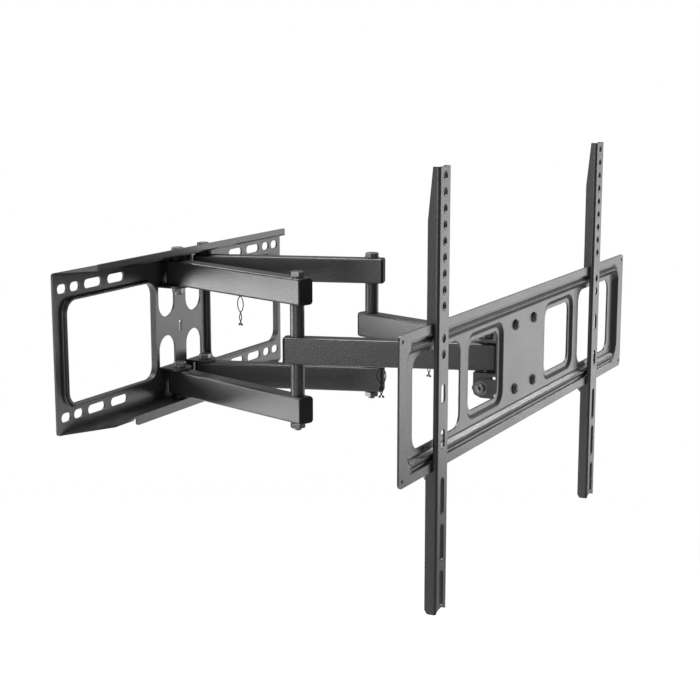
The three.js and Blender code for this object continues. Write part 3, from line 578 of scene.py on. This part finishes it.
# %% Bend one rail
rail_low, rail_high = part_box("rail_left")
rail_mid = (rail_low.x + rail_high.x) / 2
rail_half = (rail_high.x - rail_low.x) / 2
rail_front = rail_low.y
rail_sheet = 2 * MM
rail_depth = 12 * MM
rail_bend = 3 * MM
rail_fit = 0.4 * MM
beyond = 8 * MM  # how far a cutter runs past the rail
rail_back = rail_front + rail_depth
fold_edges = lambda edge: edge_along("z")(edge) and middle_of(edge).y < rail_front + 1e-6
inner_edges = lambda edge: edge_along("z")(edge) and middle_of(edge).y < rail_front + 3 * MM
rail = edit(block("rail_left_bent", (rail_low.x, rail_front, rail_low.z),
                  (rail_high.x, rail_back, rail_high.z)),
            ("edges", fold_edges, round_over(rail_bend, 6)))
hollow = edit(block("hollow",
                    (rail_low.x + rail_sheet, rail_front + rail_sheet, rail_low.z - 1 * MM),
                    (rail_high.x - rail_sheet, rail_back + 5 * MM, rail_high.z + 1 * MM)),
              ("edges", inner_edges, round_over(rail_bend - rail_sheet, 4)))
cut(rail, hollow)
print("rail in mm:", [round(1000 * v, 1) for v in rail_high - rail_low])

# %% [markdown]
# ### Shaping the flanges
# The flanges are cut by blocks that run right across the rail. Two of them are first turned into
# wedges by shifting one edge: one slopes the top, the other rounds off the foot. The seat and
# the hook are what lets the rail hang on the TV plate.

# %% Slope, foot, seat and hook
slope_length = 50 * MM
slope_run = 5 * MM
foot_run = 4 * MM
hook_depth = 6.5 * MM
hook_top = tv_high.z + rail_fit
hook_foot = tv_low.z - rail_fit


def across(name, low_y, high_y, low_z, high_z):
    """A cutter that runs across the whole rail."""
    return block(name, (rail_low.x - 3 * MM, low_y, low_z), (rail_high.x + 3 * MM, high_y, high_z))


def slide_edge(test, run):
    """An edge along x that passes a test, pushed back."""
    return ("edges", lambda edge: edge_along("x")(edge) and test(middle_of(edge)),
            lambda: bpy.ops.transform.translate(value=(0, run, 0)))


slope = across("slope", rail_front + 7 * MM, rail_back + beyond, rail_high.z - slope_length,
               rail_high.z + 2 * MM)
edit(slope, slide_edge(lambda at: at.y < rail_front + 8 * MM and at.z < rail_high.z, slope_run))
foot = across("foot", rail_back - foot_run, rail_back + beyond, rail_low.z - 2 * MM,
              rail_low.z + foot_run)
edit(foot, slide_edge(lambda at: at.y < rail_back and at.z > rail_low.z, foot_run))
cut(rail, slope, foot)
cut(rail, across("seat", tv_front - rail_fit, rail_back + beyond, hook_foot, hook_top - hook_depth))
cut(rail, across("hook", tv_front - rail_fit, tv_front + tv_sheet + rail_fit, hook_foot, hook_top))
print("rail faces:", len(rail.data.polygons))

# %% [markdown]
# ### Holes and slots
# Round holes run down the upper half, with two short slots and three long ones below, so that
# screws of most televisions find a place. The lower end of the front is cut out by an arch.

# %% Cut the holes and slots
slot_radius = 4.4 * MM
hole_count, hidden_hole = 12, 9
first_hole, hole_pitch = 8.6 * MM, 15.3 * MM
long_start, long_pitch, long_length, long_count = 24.4, 46.25, 38, 3
short_start, short_pitch, short_length, short_count = 173.4, 44.2, 19.4, 2
arch_height = 4 * MM


def rail_slot(from_bottom, length):
    z = rail_low.z + from_bottom * MM
    return rounded_block("rail_slot",
                         (rail_mid - slot_radius, rail_front - 3 * MM, z - length / 2 * MM),
                         (rail_mid + slot_radius, rail_front + 4 * MM, z + length / 2 * MM),
                         0.995 * slot_radius, "y", 10)


hole_heights = [rail_high.z - first_hole - i * hole_pitch for i in range(hole_count)
                if i != hidden_hole]
holes = [place(cylinder("rail_hole", slot_radius, -3 * MM, 4 * MM, 40, to_y),
               (rail_mid, rail_front, z)) for z in hole_heights]
long_slots = [rail_slot(long_start + long_pitch * i, long_length) for i in range(long_count)]
short_slots = [rail_slot(short_start + short_pitch * i, short_length) for i in range(short_count)]
arch_half = rail_half - rail_sheet
arch = cylinder("arch", arch_half, -3 * MM, 3 * MM, 40, to_y)
arch.data.transform(Matrix.Scale(arch_height / arch_half, 4, AXES["z"]))
place(arch, (rail_mid, rail_front, rail_low.z))
cut(rail, *holes, *long_slots, *short_slots, arch)
soften(rail, 0.35 * MM, 2, 30)
smooth(rail)
print("holes and slots:", len(holes) + len(long_slots) + len(short_slots))

# %% [markdown]
# ### The lock tab
# Under the lower hook a small tab is bent back at 45 degrees. The lock screw runs through it and
# presses on the TV plate, so the rail can't lift off.

# %% The lock tab and the second rail
tab_long, tab_thick = 4.5 * MM, 1 * MM
lean = Matrix.Rotation(math.radians(-45), 4, "X")
lock_tab = block("lock_tab_left", (-rail_half + rail_sheet, -tab_long, -tab_thick),
                 (rail_half - rail_sheet, tab_long, tab_thick))
lock_tab.data.transform(lean)
place(lock_tab, (rail_mid, rail_back - 4.2 * MM, tv_low.z - 6.5 * MM))
smooth(soften(lock_tab, 0.3 * MM))
right_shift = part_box("rail_right")[0].x - rail_low.x
for side, shift in (("left", 0), ("right", right_shift)):
    bent = rail if side == "left" else copy_of(rail, "rail_right_bent", (shift, 0, 0))
    dress(bent, plate_coat, f"rail_{side}", [f"rail_{side}"])
    own_tab = lock_tab if side == "left" else copy_of(lock_tab, "lock_tab_right", (shift, 0, 0))
    dress(own_tab, plate_coat, f"rail_{side}")
print("rails apart in mm:", round(1000 * right_shift, 1))

# %% [markdown]
# ## The wall plate
# The wall plate is one sheet bent forward along its top and bottom edges, with a lip on each
# flange. The blank and its flanges are joined first, then the bends are rounded, then the window
# rims and pivot tabs are raised, and last come the holes.

# %% Sheet and flanges
wall_low, wall_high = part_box("wall_plate")
wall_half = wall_high.x
wall_top = 90 * MM
wall_sheet = 2.5 * MM
flange_reach = 34 * MM
flange_taper = 41 * MM
lip_rise = 7 * MM
low_flange_reach = 32 * MM
low_flange_taper = 64 * MM
low_lip_half = 132 * MM
low_lip_front = -28.5 * MM
low_lip_back = -26 * MM
step_half = 143 * MM
step_top = -80 * MM
wall = rounded_block("wall_plate_pressed", (-wall_half, -wall_sheet, -wall_top),
                     (wall_half, 0, wall_top), 4 * MM, "y")


def tapered(name, low, high, front_half):
    """A flange whose front edge is shorter than the plate, so that its ends run at a slant."""
    flange = block(name, low, high)
    narrow = Vector((front_half / high[0], 1, 1))
    return edit(flange, ("faces", face_towards((0, -1, 0)),
                         lambda: bpy.ops.transform.resize(value=narrow)))


top_flange = tapered("top_flange", (-wall_half, -flange_reach, wall_top - wall_sheet),
                     (wall_half, 0, wall_top), wall_half - flange_taper)
top_lip = rounded_block("top_lip", (flange_taper - wall_half, -flange_reach, wall_top - wall_sheet),
                        (wall_half - flange_taper, wall_sheet - flange_reach, wall_top + lip_rise),
                        1.2 * MM, "y")
bottom_flange = tapered("bottom_flange", (-wall_half, -low_flange_reach, -wall_top),
                        (wall_half, 0, wall_sheet - wall_top), wall_half - low_flange_taper)
bottom_lip = rounded_block("bottom_lip", (-low_lip_half, low_lip_front, wall_low.z),
                           (low_lip_half, low_lip_back, wall_sheet - wall_top), 3 * MM, "y")
add(wall, top_flange, bottom_flange, top_lip, bottom_lip)
cut(wall, block("lip_step", (-step_half, -40 * MM, wall_low.z - MM),
                (step_half, low_lip_front, step_top)))
print("wall plate in mm:", [round(1000 * v) for v in wall_high - wall_low])

# %% [markdown]
# ### The long bends
# Bent sheet has a wide radius outside a bend and a small one inside. Each bend is one edge along
# x, found by its place in the cross-section.

# %% Round the long bends
outer_bend = 3.5 * MM
inner_bend = 1.4 * MM
lip_bend = 2.6 * MM
lip_edge = 1.2 * MM


def long_bend(y, z):
    """The edge along x that runs through one place of the cross-section."""
    def test(edge):
        away = Vector((0, y, z)) - Vector((0, *middle_of(edge).yz))
        return edge_along("x")(edge) and away.length < 1e-5
    return test


edit(wall, ("edges", long_bend(0, wall_top), round_over(outer_bend)),
     ("edges", long_bend(0, -wall_top), round_over(outer_bend)),
     ("edges", long_bend(-wall_sheet, wall_top - wall_sheet), round_over(inner_bend)),
     ("edges", long_bend(-wall_sheet, wall_sheet - wall_top), round_over(inner_bend)),
     ("edges", long_bend(-flange_reach, wall_top - wall_sheet), round_over(lip_bend)),
     ("edges", long_bend(wall_sheet - flange_reach, wall_top), round_over(lip_edge)))
print("wall plate faces after bending:", len(wall.data.polygons))

# %% [markdown]
# ### Window rims
# Each window is stamped with its edge rolled forward, which stiffens the plate where the most
# metal is missing. A rim is a ring round the window, with a wide fillet at its foot and a small
# round on its crest.

# %% Window rims
window_mid, window_half_x, window_half_z = 144 * MM, 84 * MM, 58 * MM
window_corner = 15 * MM
rim_crest = -8 * MM
rim_near_z = 61 * MM
rim_near_x = (57 * MM, 231 * MM)
rims = [rounded_block("rim", (side * window_mid - window_half_x - wall_sheet, rim_crest,
                              -window_half_z - wall_sheet),
                      (side * window_mid + window_half_x + wall_sheet, -MM,
                       window_half_z + wall_sheet), window_corner + wall_sheet, "y", 10)
        for side in (-1, 1)]
add(wall, *rims)


def rim_foot(edge):
    near = all(abs(v.co.z) < rim_near_z and rim_near_x[0] < abs(v.co.x) < rim_near_x[1]
               for v in edge.verts)
    return near and edge_at("y", -wall_sheet)(edge)


def rim_top(edge):
    return edge_at("y", rim_crest)(edge) and abs(middle_of(edge).z) < rim_near_z


edit(wall, ("edges", rim_foot, round_over(2 * MM, 4)), ("edges", rim_top, round_over(1.2 * MM, 3)))
print("rims stand", round(-1000 * rim_crest), "mm forward")

# %% [markdown]
# ### Pivot tabs
# The metal of each port is not thrown away: it is bent forward into a tab with a round nose, the
# second ear of a shoulder pivot. The port is straight on that side and round on the other.

# %% Tabs and ports
tab_top = 51.2 * MM
tab_bottom = tab_top - wall_sheet
tab_half, tab_reach, tab_nose = 16 * MM, 33 * MM, 15.9 * MM
port_x, port_half = 29 * MM, 17 * MM
port_spacing_half = 11.5 * MM
corners = [(side, row) for side in (-1, 1) for row in (-1, 1)]


def tab(side, row):
    low_z, high_z = sorted((row * tab_top, row * tab_bottom))
    low = (side * port_x - tab_half, -tab_reach, low_z)
    high = (side * port_x + tab_half, -MM, high_z)
    nose = lambda edge: edge_along("z")(edge) and middle_of(edge).y < -30 * MM
    return edit(block("tab", low, high), ("edges", nose, round_over(tab_nose, 10)))


def port(side, row):
    low_z, high_z = sorted((row * port_spacing_half, row * tab_bottom))
    low = (side * port_x - port_half, -2.6 * MM, low_z)
    high = (side * port_x + port_half, 2 * MM, high_z)
    round_end = lambda edge: edge_along("y")(edge) and abs(middle_of(edge).z) < 12 * MM
    return edit(block("port", low, high), ("edges", round_end, round_over(port_half * 0.99, 12)))


add(wall, *[tab(side, row) for side, row in corners])
print("tabs:", len(corners))

# %% [markdown]
# ### Holes in the wall plate
# Windows, ports, lag slots for the wall screws, a small arrow that shows which way is up, and
# the pivot holes through the flanges and tabs.

# %% Cut the holes
lag_row = [(15.5, 17), (38, 17), (71, 32), (114, 32)]  # from the end, and length, in mm
lag_z, lag_half, lag_corner = 71.5 * MM, 5.25 * MM, 5.2 * MM
shaft_half, head_half = 2.15 * MM, 4.3 * MM
arrow_foot, arrow_shoulder, arrow_tip = -10 * MM, 0.7 * MM, 5 * MM
shoulder_y = -19 * MM
pivot_x = 28 * MM
bolt_hole = 4.4 * MM


def hole(name, x, z, half_x, half_z, radius, segments=8):
    return rounded_block(name, (x - half_x, -12 * MM, z - half_z), (x + half_x, 2 * MM, z + half_z),
                         radius, "y", segments)


cut(wall, *[hole("window", side * window_mid, 0, window_half_x, window_half_z, window_corner, 10)
            for side in (-1, 1)])
cut(wall, *[port(side, row) for side, row in corners])
cut(wall, *[hole("lag_slot", side * (wall_half - from_end * MM), row * lag_z, length / 2 * MM,
                 lag_half, lag_corner) for side, row in corners for from_end, length in lag_row])
arrow_shaft = block("arrow_shaft", (-shaft_half, -5 * MM, arrow_foot), (shaft_half, 2 * MM, 1 * MM))
arrow_head = block("arrow_head", (-head_half, -5 * MM, arrow_shoulder),
                   (head_half, 2 * MM, arrow_tip))
point = Vector((0, 0, arrow_tip))
edit(arrow_head, ("faces", face_towards((0, 0, 1)),
                  lambda: bpy.ops.transform.resize(value=(0.02, 1, 1), center_override=point)))
cut(wall, add(arrow_shaft, arrow_head))
cut(wall, *[place(cylinder("pivot_hole", bolt_hole, -1.2 * wall_top, 1.2 * wall_top),
                  (side * pivot_x, shoulder_y, 0)) for side in (-1, 1)])
soften(wall, 0.4 * MM, 2, 40)
smooth(wall)
dress(wall, plate_coat, "wall", ["wall_plate"])
print("wall plate faces:", len(wall.data.polygons))

# %% [markdown]
# ## Arms
# All six arms are the same welded tube, 20 by 30 mm with small rounded corners. One tube is
# made along the y axis with its first pivot at the origin, and copies are turned into place.
# The plastic caps press into the open ends and stand slightly proud of them.

# %% Tube and cap
tube_width, tube_height, tube_wall = 20 * MM, 30 * MM, 2 * MM
tube_round = 2.6 * MM
link_length = 209 * MM
link_over, elbow_over, head_over = 8 * MM, 12.5 * MM, 9.5 * MM  # tube past each pivot
open_hole = 5.2 * MM
gap = 0.3 * MM
cap_face = 2.6 * MM


def make_tube(name, first_over, second_over, second_hole):
    low = (-tube_width / 2, -link_length - second_over, -tube_height / 2)
    high = (tube_width / 2, first_over, tube_height / 2)
    outer = edit(block(name, low, high), ("edges", edge_along("y"), round_over(tube_round, 5)))
    inner = block("bore", (low[0] + tube_wall, low[1] - MM, low[2] + tube_wall),
                  (high[0] - tube_wall, high[1] + MM, high[2] - tube_wall))
    holes = [place(cylinder("bolt_hole", radius, -tube_height, tube_height), (0, y, 0))
             for radius, y in ((bolt_hole, 0), (second_hole, -link_length))]
    cut(outer, inner)
    cut(outer, *holes)
    return smooth(soften(outer, 0.25 * MM, 2, 40))


link = make_tube("link_tube", link_over, elbow_over, bolt_hole)
forearm = make_tube("forearm_tube", elbow_over, head_over, open_hole)
end_cap = rounded_block("end_cap", (-tube_width / 2, gap, -tube_height / 2),
                        (tube_width / 2, cap_face, tube_height / 2), 4 * MM, "y")
edit(end_cap, ("edges", edge_at("y", cap_face), round_over(1.5 * MM, 5)))
smooth(end_cap)
print("tube faces:", len(link.data.polygons))

# %% [markdown]
# ## Bolts, nuts and washers
# A bolt head is a hexagon cut from bar with its corners turned down, so its top is a round
# chamfer with a small dished centre. Under each head sits a plain washer.

# %% Fastener shapes
shank_radius, shank_hole = 4 * MM, 4.1 * MM
head_height, nut_height = 5.1 * MM, 6 * MM
washer_top = 1.2 * MM


def hexagon(name, across, height, dished=True):
    head = cylinder(name, across / math.sqrt(3), 0, height, 6,
                    Matrix.Rotation(math.radians(30), 4, "Z"))
    edit(head, ("edges", edge_at("z", height), round_over(0.09 * across, 3)))
    if dished:
        edit(head, ("faces", face_towards((0, 0, 1)), lambda: bpy.ops.mesh.inset(
            thickness=0.14 * across, depth=-0.03 * across)))
    return smooth(head, 30)


def washer(name, outer, inner, low, high):
    body = cylinder(name, outer, low, high, 48)
    cut(body, cylinder("bore", inner, low - MM, high + MM, 32))
    return smooth(soften(body, 0.3 * MM, 2, 40), 30)


def bolt(name, head_z, tip_z, across):
    """A head over a washer that rests at head_z, and a shank that ends at tip_z."""
    head = place(hexagon(name, across, head_height), (0, 0, washer_top))
    disc = washer(name + "_washer", across * 0.6, shank_hole, 0.05 * MM, washer_top)
    for piece in (head, disc):
        place(piece, (0, 0, head_z))
    low, high = sorted((head_z, tip_z))
    shank = cylinder(name + "_shank", shank_radius, low, high, 32)
    smooth(edit(shank, ("edges", edge_at("z", tip_z), round_over(0.7 * MM, 2))), 30)
    return together([head, disc, shank])


def nut(name, low_z, across):
    body = place(hexagon(name, across, nut_height, False), (0, 0, low_z))
    bore = cylinder("bore", shank_hole, low_z - MM, low_z + nut_height + MM, 32)
    return smooth(cut(body, bore), 30)


# %% [markdown]
# ### One of each fastener
# The upper and lower arms share one elbow bolt on each side, while each shoulder has a short one
# of its own. The heads and nuts at the elbow are a size larger. Every fastener is made once at
# its height, and only turned and copied later.

# %% Fasteners at their heights
link_bottom, link_top = 51.5 * MM, 81.5 * MM
link_middle = (link_bottom + link_top) / 2
forearm_top = 15.3 * MM
tip_past = 9.3 * MM
small_hex, large_hex = 13 * MM, 15 * MM
upper_bolt = bolt("shoulder_bolt", wall_top + gap, tab_bottom - tip_past, small_hex)
lower_bolt = bolt("shoulder_bolt_low", -tab_bottom + gap, -wall_top - tip_past, small_hex)
elbow_bolt = bolt("elbow_bolt_shape", link_top + gap, -link_top - tip_past, large_hex)
shoulder_nut = nut("shoulder_nut", tab_bottom - gap - nut_height, small_hex)
elbow_nut = nut("elbow_nut_shape", -link_top - gap - nut_height, large_hex)
shoulder_ring = washer("shoulder_ring", 10 * MM, bolt_hole, link_top + gap,
                       wall_top - wall_sheet - gap)
spacer = washer("spacer", 8 * MM, bolt_hole, forearm_top, link_bottom - gap)
print("elbow bolt in mm:", round(1000 * (2 * link_top + gap + tip_past), 1))

# %% [markdown]
# ### Where the arms stand
# Each arm swings out at its shoulder by one angle, and back at its elbow by twice that angle, so
# the head stays square to the wall.

# %% Arm places
open_angle = math.radians(17.83)


def along(y):
    return Matrix.Translation((0, y, 0))


def lifted(z):
    return Matrix.Translation((0, 0, z))


def arm_places(side):
    """Where the shoulder, the link, the elbow and the forearm of one side are."""
    shoulder = Matrix.Translation((side * pivot_x, shoulder_y, 0))
    link_at = shoulder @ Matrix.Rotation(side * open_angle, 4, "Z")
    elbow = link_at @ along(-link_length)
    return shoulder, link_at, elbow, elbow @ Matrix.Rotation(-2 * side * open_angle, 4, "Z")


def put(model, name, matrix, finish, body, node):
    material, slot = finish
    return dress(copy_of(model, name, turn=matrix), material, body, [node])


print("elbows open to degrees:", round(180 - 2 * math.degrees(open_angle), 1))

# %% [markdown]
# ### Putting the arms together
# The lower arm is the upper one again, and its spacer and plastic ring are turned over.

# %% Put the arms together
half_turn = Matrix.Rotation(math.pi, 4, "Z")
flip = Matrix.Rotation(math.pi, 4, "X")
paint, plastic, steel = ((tube_coat, "arm_tubes"), (cap_plastic, "plastic_caps"),
                         (fastener_steel, "fasteners"))
for name, side in (("left", -1), ("right", 1)):
    shoulder, link_at, elbow, forearm_at = arm_places(side)
    link_body, fore_body = f"link_{name}", f"forearm_{name}"
    for level, row, mirror in (("upper", 1, Matrix.Identity(4)), ("lower", -1, flip)):
        end = f"{level}_{name}"
        tube_at = link_at @ lifted(row * link_middle)
        put(link, f"tube_{end}", tube_at, paint, link_body, f"link_{end}")
        put(end_cap, f"wall_cap_{end}", tube_at @ along(link_over), plastic, link_body,
            f"cap_wall_{end}")
        put(end_cap, f"elbow_cap_{end}", tube_at @ along(-link_length - elbow_over) @ half_turn,
            plastic, link_body, f"cap_elbow_{end}")
        put(spacer, f"spacer_{end}", elbow @ mirror, paint, link_body, f"elbow_spacer_{end}")
        put(shoulder_ring, f"plastic_ring_{end}", shoulder @ mirror, plastic, "wall",
            f"shoulder_washer_{end}")
    put(upper_bolt, f"bolt_upper_{name}", shoulder, steel, "wall", f"shoulder_bolt_upper_{name}")
    put(lower_bolt, f"bolt_lower_{name}", shoulder, steel, "wall", f"shoulder_bolt_lower_{name}")
    put(shoulder_nut, f"nut_upper_{name}", shoulder, steel, "wall", f"shoulder_nut_upper_{name}")
    put(shoulder_nut, f"nut_lower_{name}", shoulder @ lifted(-wall_top - tab_bottom), steel, "wall",
        f"shoulder_nut_lower_{name}")
    put(elbow_bolt, f"long_bolt_{name}", elbow, steel, link_body, f"elbow_bolt_{name}")
    put(elbow_nut, f"long_nut_{name}", elbow, steel, link_body, f"elbow_nut_{name}")
    put(forearm, f"forearm_tube_{name}", forearm_at, paint, fore_body, f"forearm_{name}")
    put(end_cap, f"forearm_cap_a_{name}", forearm_at @ along(elbow_over), plastic, fore_body,
        f"cap_forearm_elbow_{name}")
    put(end_cap, f"forearm_cap_b_{name}", forearm_at @ along(-link_length - head_over) @ half_turn,
        plastic, fore_body, f"cap_forearm_head_{name}")
for pattern in (link, forearm, end_cap, upper_bolt, lower_bolt, elbow_bolt, shoulder_nut, elbow_nut,
                shoulder_ring, spacer):
    bpy.data.objects.remove(pattern)
print("arms together")

# %% [markdown]
# ## The head
# The head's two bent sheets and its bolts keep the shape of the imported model. Their meshes are
# merged and every edge is rounded, as a bent and painted sheet would be.

# %% Merged copies
def merged_copy(node, name, width, degrees=30, segments=3):
    original = frame["nodes"][node]
    other = copy_of(original, name)
    other.data.transform(original.matrix_world)
    other.matrix_world = Matrix.Identity(4)
    pick(other)
    bpy.ops.object.mode_set(mode="EDIT")
    bpy.ops.mesh.select_all(action="SELECT")
    bpy.ops.mesh.remove_doubles(threshold=1e-6)
    bpy.ops.mesh.dissolve_limited(angle_limit=math.radians(1))
    bpy.ops.mesh.normals_make_consistent(inside=False)
    bpy.ops.object.mode_set(mode="OBJECT")
    if width:
        soften(other, width, segments, degrees)
    return smooth(other, 40)


dress(merged_copy("head_clevis", "clevis_sheet", 0.6 * MM), plate_coat, "head",
      ["head_clevis"])
dress(merged_copy("tilt_bracket", "bracket_sheet", 0.6 * MM), plate_coat, "tv_side",
      ["tilt_bracket"])

# %% [markdown]
# ### Rivets
# Round-headed rivets hold the bracket behind the TV plate. Each head is half of a flattened ball.

# %% Rivets
dome_radius, dome_height = 6 * MM, 3.4 * MM
for number in (1, 2, 3, 4):
    low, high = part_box(f"dome_rivet_{number}")
    middle = (low + high) / 2
    bpy.ops.object.select_all(action="DESELECT")
    bpy.ops.mesh.primitive_uv_sphere_add(segments=40, ring_count=20, radius=dome_radius)
    dome = bpy.context.object
    dome.name = f"rivet_head_{number}"
    pick(dome)
    bpy.ops.object.mode_set(mode="EDIT")
    bpy.ops.mesh.select_all(action="SELECT")
    bpy.ops.transform.rotate(value=math.pi / 2, orient_axis="X", center_override=(0, 0, 0))
    bpy.ops.transform.resize(value=(1, dome_height / dome_radius, 1), center_override=(0, 0, 0))
    bpy.ops.mesh.select_all(action="SELECT")
    bpy.ops.mesh.bisect(plane_co=(0, 0, 0), plane_no=(0, 1, 0), clear_outer=True, use_fill=True)
    bpy.ops.object.mode_set(mode="OBJECT")
    seat_y = low.y + dome_height
    place(dome, (middle.x, seat_y, middle.z))
    shank = cylinder("rivet_shank", 3 * MM, 0, high.y - seat_y, 24, to_y)
    bottom = min(v.co.y for v in shank.data.vertices)
    place(shank, (middle.x, seat_y - bottom - 0.2 * MM, middle.z))
    together([dome, shank])
    smooth(dome, 40)
    dress(dome, rivet_steel, "tv_side", [f"dome_rivet_{number}"])
print("rivet faces:", len(dome.data.polygons))

# %% [markdown]
# The tilt screws are cross-headed, over a wide plain washer. The cross is cut by two small
# wedges that taper towards the bottom.

# %% Tilt screws
crown_height, crown_radius = 3.4 * MM, 5.2 * MM
cross_long, cross_short, cross_floor = 3.2 * MM, 0.7 * MM, 1.2 * MM
shrink = Vector((0.5, 0.5, 1))
for name, side in (("left", -1), ("right", 1)):
    low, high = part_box(f"tilt_screw_{name}")
    middle = (low + high) / 2
    head = cylinder(f"tilt_head_{name}", crown_radius, 0, crown_height, 40)
    edit(head, ("edges", edge_at("z", crown_height), round_over(1.4 * MM, 4)))
    for half_x, half_y in ((cross_long, cross_short), (cross_short, cross_long)):
        wedge = block("cross", (-half_x, -half_y, cross_floor), (half_x, half_y, 5 * MM))
        cut(head, edit(wedge, ("faces", face_towards((0, 0, -1)),
                               lambda: bpy.ops.transform.resize(value=shrink))))
    disc = washer(f"tilt_washer_{name}", 8 * MM, 3.1 * MM, -1.3 * MM, -0.1 * MM)
    shank = cylinder("tilt_shank", 3 * MM, -10.6 * MM, 0, 24)
    together([head, disc, shank])
    smooth(head, 30)
    head.data.transform(Matrix.Rotation(side * math.pi / 2, 4, "Y"))
    seat = (high.x if side > 0 else low.x) - side * crown_height
    place(head, (seat, middle.y, middle.z))
    dress(head, fastener_steel, "head", [f"tilt_screw_{name}"])
print("tilt screw faces:", len(head.data.polygons))

# %% [markdown]
# The head bolts, their nuts and the two lock screws are hexagons already, so they only need
# their edges rounded.

# %% Head bolts, nuts and lock screws
for name in ("left", "right"):
    for node, piece, width, body in ((f"head_bolt_{name}", f"pivot_bolt_{name}", 0.5 * MM, "head"),
                                     (f"head_nut_{name}", f"pivot_nut_{name}", 0.5 * MM, "head"),
                                     (f"lock_screw_{name}", f"lock_{name}", 0.4 * MM,
                                      f"lock_screw_{name}")):
        dress(merged_copy(node, piece, width, 40), fastener_steel, body, [node])
print("head together")

# %% [markdown]
# ## Cable clips
# Each clip is one springy wire loop with a ball on each tail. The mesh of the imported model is
# merged and subdivided once, which rounds its few-sided wire.

# %% Clips
clip_bodies = {"cable_clip_link_left": "link_left", "cable_clip_forearm_left": "forearm_left",
               "cable_clip_forearm_right": "forearm_right"}
for node, body in clip_bodies.items():
    clip = merged_copy(node, node.replace("cable_clip", "clip"), 0)
    pick(clip)
    rounded = clip.modifiers.new("round", "SUBSURF")
    rounded.levels = rounded.render_levels = 1
    bpy.ops.object.modifier_apply(modifier=rounded.name)
    smooth(clip, 60)
    dress(clip, clip_plastic, body, [node])
    print(node, "faces:", len(clip.data.polygons))

# %% [markdown]
# ## Floor, light and camera
# A plain pale floor lies well below the mount and fades out at its edge, so that it never ends in
# a line.

# %% Stage
bpy.ops.object.select_all(action="DESELECT")
floor_height = cad_low.z - 0.6
floor_radius = 2.4
bpy.ops.mesh.primitive_circle_add(vertices=96, radius=floor_radius, fill_type="NGON",
                                  location=(0, 0, floor_height))
floor = bpy.context.object
floor.name = "studio_floor"
paper = Finish("studio_paper", Roughness=0.95, Specular_IOR_Level=0.0)
paper.set("Base Color", paper.mix(paper.noise(3, 2), grey(0.86), grey(0.9)))
reach = paper.node("ShaderNodeVectorMath", {"operation": "LENGTH"}, [paper.place], "Value")
fade_from, fade_to = 0.7, floor_radius - 0.1
fade = paper.node("ShaderNodeMapRange", {"interpolation_type": "SMOOTHSTEP"},
                  {"Value": reach, "From Min": fade_from, "From Max": fade_to,
                   "To Min": 1.0, "To Max": 0.0})
paper.set("Alpha", fade)
floor.data.materials.append(paper.material)
print("floor below the mount in mm:", round(1000 * (cad_low.z - floor_height)))

# %% [markdown]
# ### Lights
# Black paint is seen by what it mirrors. Large soft lights fill the fronts of the TV plate and
# the rails, the near side of the left arms, the rails' sides and the tops. Two narrow ones draw
# bright lines along the bends and along the top edges of the arms. One hangs over the floor.

# %% Lights
def soft_light(name, place_at, aim, size, power):
    data = bpy.data.lights.new(name, "AREA")
    data.shape = "RECTANGLE"
    data.size, data.size_y = size
    data.energy = power
    light = bpy.data.objects.new(name, data)
    bpy.context.scene.collection.objects.link(light)
    light.location = place_at
    light.rotation_mode = "QUATERNION"
    light.rotation_quaternion = (Vector(aim) - Vector(place_at)).to_track_quat("-Z", "Y")
    return light


# Name, place, what it aims at, size in metres, and power in watts.
for light in (("room_light", (2.5, -1.75, -0.35), (0, -0.4, 0), (1.3, 1.1), 14),
              ("wall_side_light", (-1.3, 2.2, -0.2), (0, -0.2, 0), (1.3, 1.3), 60),
              ("left_light", (-3.0, -0.3, 0.2), (0, -0.2, 0), (1.2, 1.2), 26),
              ("crest_light", (2.4, -0.85, 1.05), (0, -0.4, 0), (0.9, 0.22), 13),
              ("edge_light", (0.1, 1.9, 1.85), (0, -0.1, 0), (1.3, 0.3), 26),
              ("floor_light", (0, 0, 2.4), (0, 0, -1), (1.8, 1.8), 100)):
    soft_light(*light)
print("lights:", len(bpy.data.lights))

# %% [markdown]
# ### The room around
# The camera sees plain white, and the paint a much dimmer room, which keeps its blacks deep.

# %% World
world = bpy.data.worlds.new("studio_world")
world.use_nodes = True
sky = world.node_tree
seen = sky.nodes["Background"]
seen.inputs["Color"].default_value = (1, 1, 1, 1)
seen.inputs["Strength"].default_value = 1.0
dim = sky.nodes.new("ShaderNodeBackground")
dim.inputs["Strength"].default_value = 0.36
choose = sky.nodes.new("ShaderNodeMixShader")
ray = sky.nodes.new("ShaderNodeLightPath")
sky.links.new(ray.outputs["Is Camera Ray"], choose.inputs[0])
sky.links.new(dim.outputs[0], choose.inputs[1])
sky.links.new(seen.outputs[0], choose.inputs[2])
sky.links.new(choose.outputs[0], sky.nodes["World Output"].inputs["Surface"])
bpy.context.scene.world = world
bpy.context.scene.view_settings.view_transform = "Standard"
print("view transform:", bpy.context.scene.view_settings.view_transform)

# %% [markdown]
# ### Camera
# It stands to the left and a little above, far off with a long lens, so parallel edges stay
# nearly parallel.

# %% Camera
azimuth, elevation = math.radians(-62.637), math.radians(10.813)
camera_data = bpy.data.cameras.new("camera")
camera_data.sensor_width = 36
camera_data.lens = 78.45
camera = bpy.data.objects.new("camera", camera_data)
bpy.context.scene.collection.objects.link(camera)
camera.location = (-1.5383, -1.0320, 0.3168)
towards = Vector((-math.sin(azimuth) * math.cos(elevation), math.cos(azimuth) * math.cos(elevation),
                  -math.sin(elevation)))
camera.rotation_mode = "QUATERNION"
camera.rotation_quaternion = towards.to_track_quat("-Z", "Y")
bpy.context.scene.camera = camera
print("camera distance in m:", round(camera.location.length, 2))
